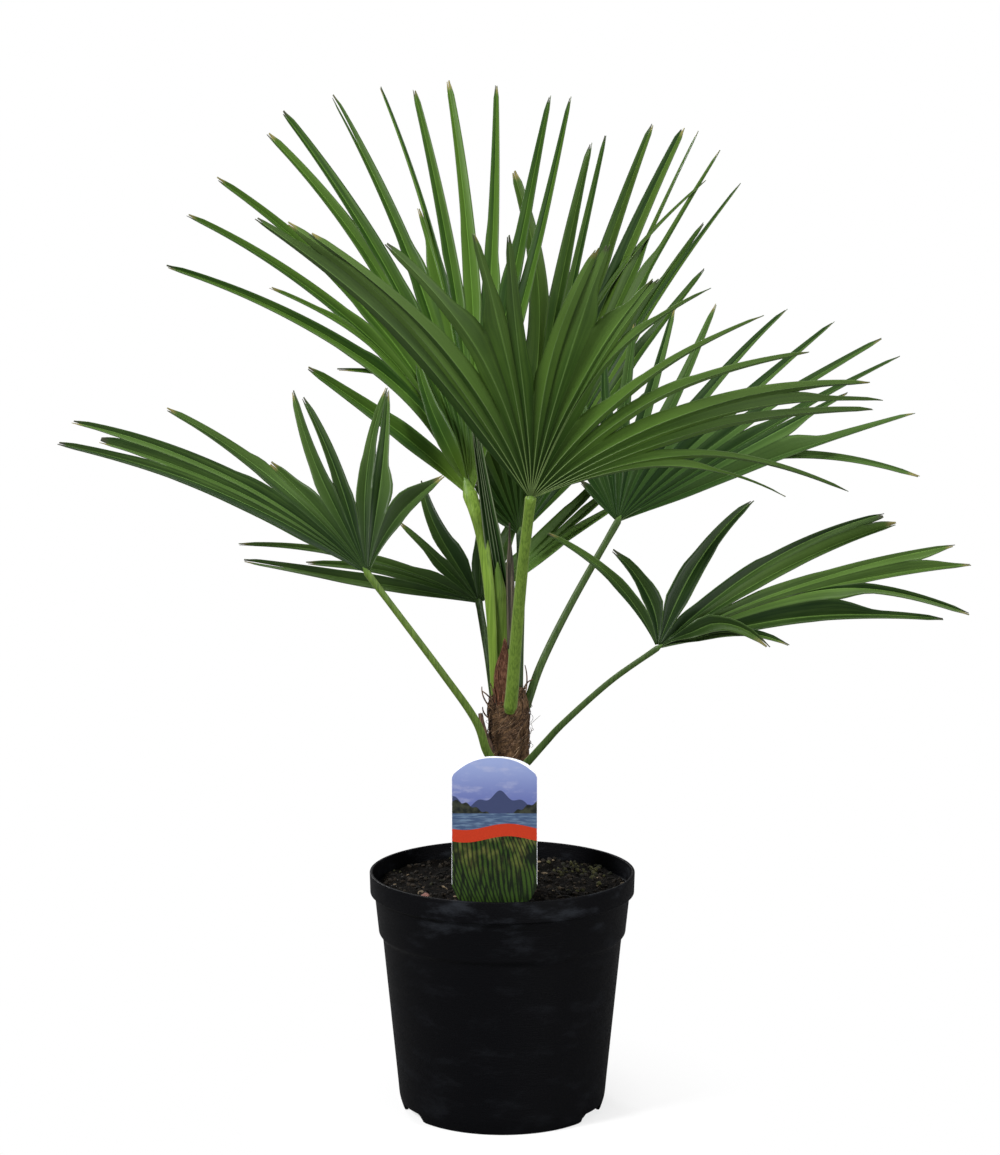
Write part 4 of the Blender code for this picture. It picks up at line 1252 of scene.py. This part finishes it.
class Sheet:
    """One leaf's pleated sheet while it is made. Neighbours share their ridge as far as they are joined."""

    def __init__(self, blade, fingers):
        self.blade = blade
        self.fingers = fingers
        self.shape = bmesh.new()
        verts = self.shape.verts
        self.layers = {key: verts.layers.float.new(key) for key in ("across", "along", "to_tip")}
        self.tone_layer = self.shape.faces.layers.float.new("tone")

    def add_point(self, finger, place, distance, across):
        """A point that knows how far along and across its finger it is."""
        vert = self.shape.verts.new(place)
        vert[self.layers["across"]] = across
        vert[self.layers["along"]] = distance
        vert[self.layers["to_tip"]] = finger.length - distance
        return vert

    def add_in_half(self, finger, distance, outer, side, step, across):
        """A point on the way from the midrib to the outer edge."""
        return self.add_point(finger, place_in_half(finger, distance, outer, side, step), distance, across)

    def add_ridge(self, left, right):
        """The points that two neighbours share."""
        ridge = []
        reach = min(left.segment.joined, left.length - free_tip, right.length - free_tip)
        for distance in stations:
            if distance > reach:
                break
            a, b = left.centre(distance), right.centre(distance)
            middle = (a + b) / 2
            lift = upper_side(self.blade, middle) * self.blade.pleat * (a - b).length / 2
            ridge.append(self.add_point(left, middle + lift, distance, 1.0))
        return ridge

    def add_finger(self, finger, sides):
        """A finger's two halves. sides holds each one's -1 or 1, its ridge and its neighbour."""
        fork_start = finger.length - finger.fork
        distances = list(stations[:max(2, len(sides[0][1]), len(sides[1][1]))])
        first = distances[-1]
        count = max(4, round((fork_start - first) / row_pitch))
        distances += [first + (fork_start - first) * (k + 1) / count for k in range(count)]
        fork_rows = max(4, round(finger.fork / fork_pitch))
        distances += [finger.length - finger.fork * (1 - (k + 1) / fork_rows) for k in range(fork_rows)]
        midribs = [
            self.add_point(finger, finger.centre(distance), distance, 0)
            for distance in distances if distance <= fork_start + 1e-6
        ]
        for side, ridge, neighbour in sides:
            split = stations[len(ridge) - 1] if ridge else 0
            rows = []
            for k, distance in enumerate(distances):
                if k < len(ridge):
                    outer = ridge[k].co.copy()
                else:
                    outer = edge_place(finger, neighbour, side, distance, split)
                here = (finger, distance, outer, side)
                row = [midribs[k] if k < len(midribs) else self.add_in_half(*here, 0, 0.1)]
                row += [self.add_in_half(*here, step, step) for step in (0.25, 0.5, 0.75)]
                row.append(ridge[k] if k < len(ridge) else self.add_in_half(*here, 1, 1))
                rows.append(row if side > 0 else row[::-1])
            for lower, upper in zip(rows, rows[1:]):
                for j in range(4):
                    face = self.shape.faces.new((lower[j], lower[j + 1], upper[j + 1], upper[j]))
                    face[self.tone_layer] = finger.tones[side]
        self.crease(midribs)

    def crease(self, line):
        """Keep the edges along a line of points sharp."""
        for lower, upper in zip(line, line[1:]):
            self.shape.edges.get((lower, upper)).smooth = False

    def mesh(self, name):
        """Build the whole sheet, with its faces turned to the leaf's upper side."""
        in_plane = [finger for finger in self.fingers if not finger.segment.forward]
        ridges = [[], *(self.add_ridge(*pair) for pair in zip(in_plane, in_plane[1:])), []]
        neighbours = [None, *in_plane, None]
        for finger in self.fingers:
            if finger in in_plane:
                k = in_plane.index(finger)
                self.add_finger(finger, [
                    (-1, ridges[k], neighbours[k]), (1, ridges[k + 1], neighbours[k + 2])
                ])
            else:
                self.add_finger(finger, [(-1, [], None), (1, [], None)])
        for ridge in ridges:
            self.crease(ridge)
        self.shape.normal_update()
        sample = next(iter(self.shape.faces))
        if sample.normal.dot(upper_side(self.blade, sample.calc_center_median())) < 0:
            bmesh.ops.reverse_faces(self.shape, faces=self.shape.faces)
        return mesh_of(name, self.shape)


def leaf_ribs(name, fingers):
    """The round midribs on the under side of one leaf, thinner toward the tips."""
    shape = bmesh.new()
    along_layer = shape.verts.layers.float.new("along")
    for finger in fingers:
        length = finger.length - finger.fork
        count = max(8, round(length / rib_pitch))
        reaches = [finger_root + (length - finger_root) * k / count for k in range(count + 1)]
        rows = []
        for k, distance in enumerate(reaches):
            here, across, face = finger.frame(distance)
            radius = rib_radius * (1 - 0.70 * k / count)
            middle = here - face * (leaf_thickness + 0.1 * radius)
            rows.append([
                middle + (across * math.cos(turn) + face * math.sin(turn)) * radius
                for turn in (math.tau * j / rib_sides for j in range(rib_sides))
            ])
        for ring, distance in zip(closed_tube(shape, rows), reaches):
            for vert in ring:
                vert[along_layer] = distance
    return mesh_of("ribs_" + name, shape)


def toned(colour, factor, lift=0.0):
    """A colour made lighter or darker."""
    return tuple(factor * c + lift for c in colour)


def leaf_finish(name, deep, pale, roughness=0.40, specular=0.14, root=0.0, edge=0.35, edge_from=0.82,
                edge_colour=None, painted_light_right=0.0, bloom=0.0, dark_reach=0.100, lines=0.35):
    """Leathery leaf with soft streaks along it, a pale midrib, darker edges and a dry tip.

    It goes from deep to pale. root is how much its root is yellow, and edge how much its edges take
    edge_colour, from edge_from of the way out; the darker green they take without it is painted shade.
    painted_light_right is how much paler its right half is painted, as painted light, bloom how much
    grey-green bloom lies past its root, dark_reach how far out its root's painted shade goes, and
    lines how clear its midribs and ridges are near the root.
    """
    finish, green = new_finish(name, roughness, specular)
    across, along, to_tip, tone = [
        green.node("Attribute", {"attribute_name": key}, output="Fac")
        for key in ("across", "along", "to_tip", "tone")
    ]
    lanes = green.node("CombineXYZ", values={"X": across * 1.6, "Y": along * 9, "Z": tone * 60})
    veins = lanes.grain(1.3, 3, 0.6)
    threads = green.node("CombineXYZ", values={"X": across * 5, "Y": along * 3, "Z": tone * 40}).grain(1, 2)
    blotches = green.place().grain(38, 3)
    tint = 0.45 * veins + 0.30 * threads + 0.40 * tone + 0.15 * blotches
    colour = tint.between(0.36, 0.88).blend(deep, pale)
    midrib = 1 - across.between(0.015, 0.090)
    colour = (0.70 * midrib).blend(colour, toned(pale, 1.9, 0.012))
    # Painted shade: without a given edge colour the edges darken toward a deeper green, for the shadow of
    # each half's curled margin. The spear's pale edge colour is its own.
    colour = (edge * across.between(edge_from, 1.0)).blend(colour, edge_colour or toned(deep, 0.4))
    # Painted shade: the leaf's root darkens toward a deeper green, for the shade that the stalks and the
    # leaves above cast on it.
    shaded_root = 1 - along.between(0.015, dark_reach)
    colour = (0.80 * shaded_root).blend(colour, toned(deep, 0.8))
    line = midrib.most(across.between(0.90, 1.0))
    colour = (lines * line * (1 - along.between(0.020, 0.130))).blend(colour, toned(pale, 1.5, 0.020))
    # Painted light: the leaf's right part is made paler, so that it looks more brightly lit than the lamps
    # leave it.
    painted_light_mask = green.place().split()[0].between(0.010, 0.050)
    colour = (painted_light_right * painted_light_mask).blend(colour, toned(pale, 2.6))
    colour = (bloom * along.between(0.080, 0.170)).blend(colour, (0.100, 0.142, 0.060))
    colour = (root * (1 - along.between(0.006, 0.055))).blend(colour, (0.095, 0.165, 0.017))
    ragged = to_tip - 0.004 * (veins - 0.5) - 0.003 * tone
    dry = tone.between(0.45, 0.65).blend((0.050, 0.048, 0.034), (0.200, 0.165, 0.060))
    colour = (0.85 - 0.85 * ragged.between(0.0005, 0.0060)).blend(colour, dry)
    green.feed(
        base_color=colour,
        roughness=(roughness - 0.08) + 0.16 * veins,
        normal=green.bump(veins, 0.00025),
    )
    return finish


rib_finish, rib = new_finish("leaf_ribs", roughness=0.5, specular=0.3)
rib_along = rib.node("Attribute", {"attribute_name": "along"}, output="Fac")
rib_tint = rib_along.between(0.005, 0.110)
rib.feed(base_color=rib_tint.blend((0.115, 0.175, 0.050), (0.055, 0.100, 0.024)))
edge_finish, edge_green = new_finish("leaf_edges", roughness=0.5, specular=0.3)
edge_tint = edge_green.place().grain(60, 2)
edge_green.feed(base_color=edge_tint.blend((0.030, 0.055, 0.015), (0.070, 0.105, 0.032)))

# Each leaf's deep and pale green and its own settings. The front and inner left leaves have a right part
# painted paler as painted light, and the right leaf's root has a longer painted shade.
leaf_looks = {
    "front": ((0.013, 0.036, 0.004), (0.060, 0.118, 0.017),
              {"roughness": 0.50, "specular": 0.10, "bloom": 0.20, "painted_light_right": 0.12}),
    "tall": ((0.009, 0.031, 0.003), (0.049, 0.102, 0.012), {"root": 0.5}),
    "rear": ((0.008, 0.028, 0.003), (0.046, 0.088, 0.013), {}),
    "right": ((0.009, 0.028, 0.005), (0.054, 0.102, 0.024),
              {"roughness": 0.42, "specular": 0.08, "dark_reach": 0.150, "lines": 0.12}),
    "low_right": ((0.004, 0.015, 0.002), (0.060, 0.112, 0.021), {}),
    "left": ((0.005, 0.017, 0.003), (0.052, 0.098, 0.020), {}),
    "inner_left": ((0.010, 0.028, 0.005), (0.054, 0.104, 0.020), {"painted_light_right": 0.6}),
    "spear": ((0.008, 0.026, 0.005), (0.026, 0.056, 0.014),
              {"roughness": 0.50, "specular": 0.10, "edge": 0.9, "edge_from": 0.55,
               "edge_colour": (0.210, 0.245, 0.155)}),
}
for name, blade in blades.items():
    points = stalks[name].points
    end = Vector(points[-1])
    ahead = (end - Vector(points[-2])).normalized()
    reach = min(midline(blade, segment, finger_root).dot(ahead) for segment in blade.segments)
    hub = Matrix.Translation(end + ahead * (leaf_seat - reach) + Vector(blade.shift))
    chance = random.Random(name)
    fingers = [Finger(blade, segment, chance) for segment in blade.segments]
    deep, pale, own_look = leaf_looks[name]
    if blade.upper:
        upper_finish = leaf_finish("upper_" + name, deep, pale, **own_look)
        under_finish = leaf_finish(
            "under_" + name, toward(deep, (0.045, 0.058, 0.030), 0.25),
            toward(pale, (0.110, 0.135, 0.070), 0.30), 0.55, 0.16,
        )
    else:
        upper_finish = leaf_finish("upper_" + name, deep, pale)
        under_finish = leaf_finish("under_" + name, deep, pale, **own_look)
    piece = add_piece(
        "leaf_" + name, Sheet(blade, fingers).mesh("blade_" + name), "blade",
        upper_finish, under_finish, edge_finish, place=hub,
    )
    thicken(piece, leaf_thickness, offset=-1, under=1, rim=2)
    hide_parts("blade_" + name)
    add_piece("ribs_" + name, leaf_ribs(name, fingers), "blade", rib_finish, place=hub)
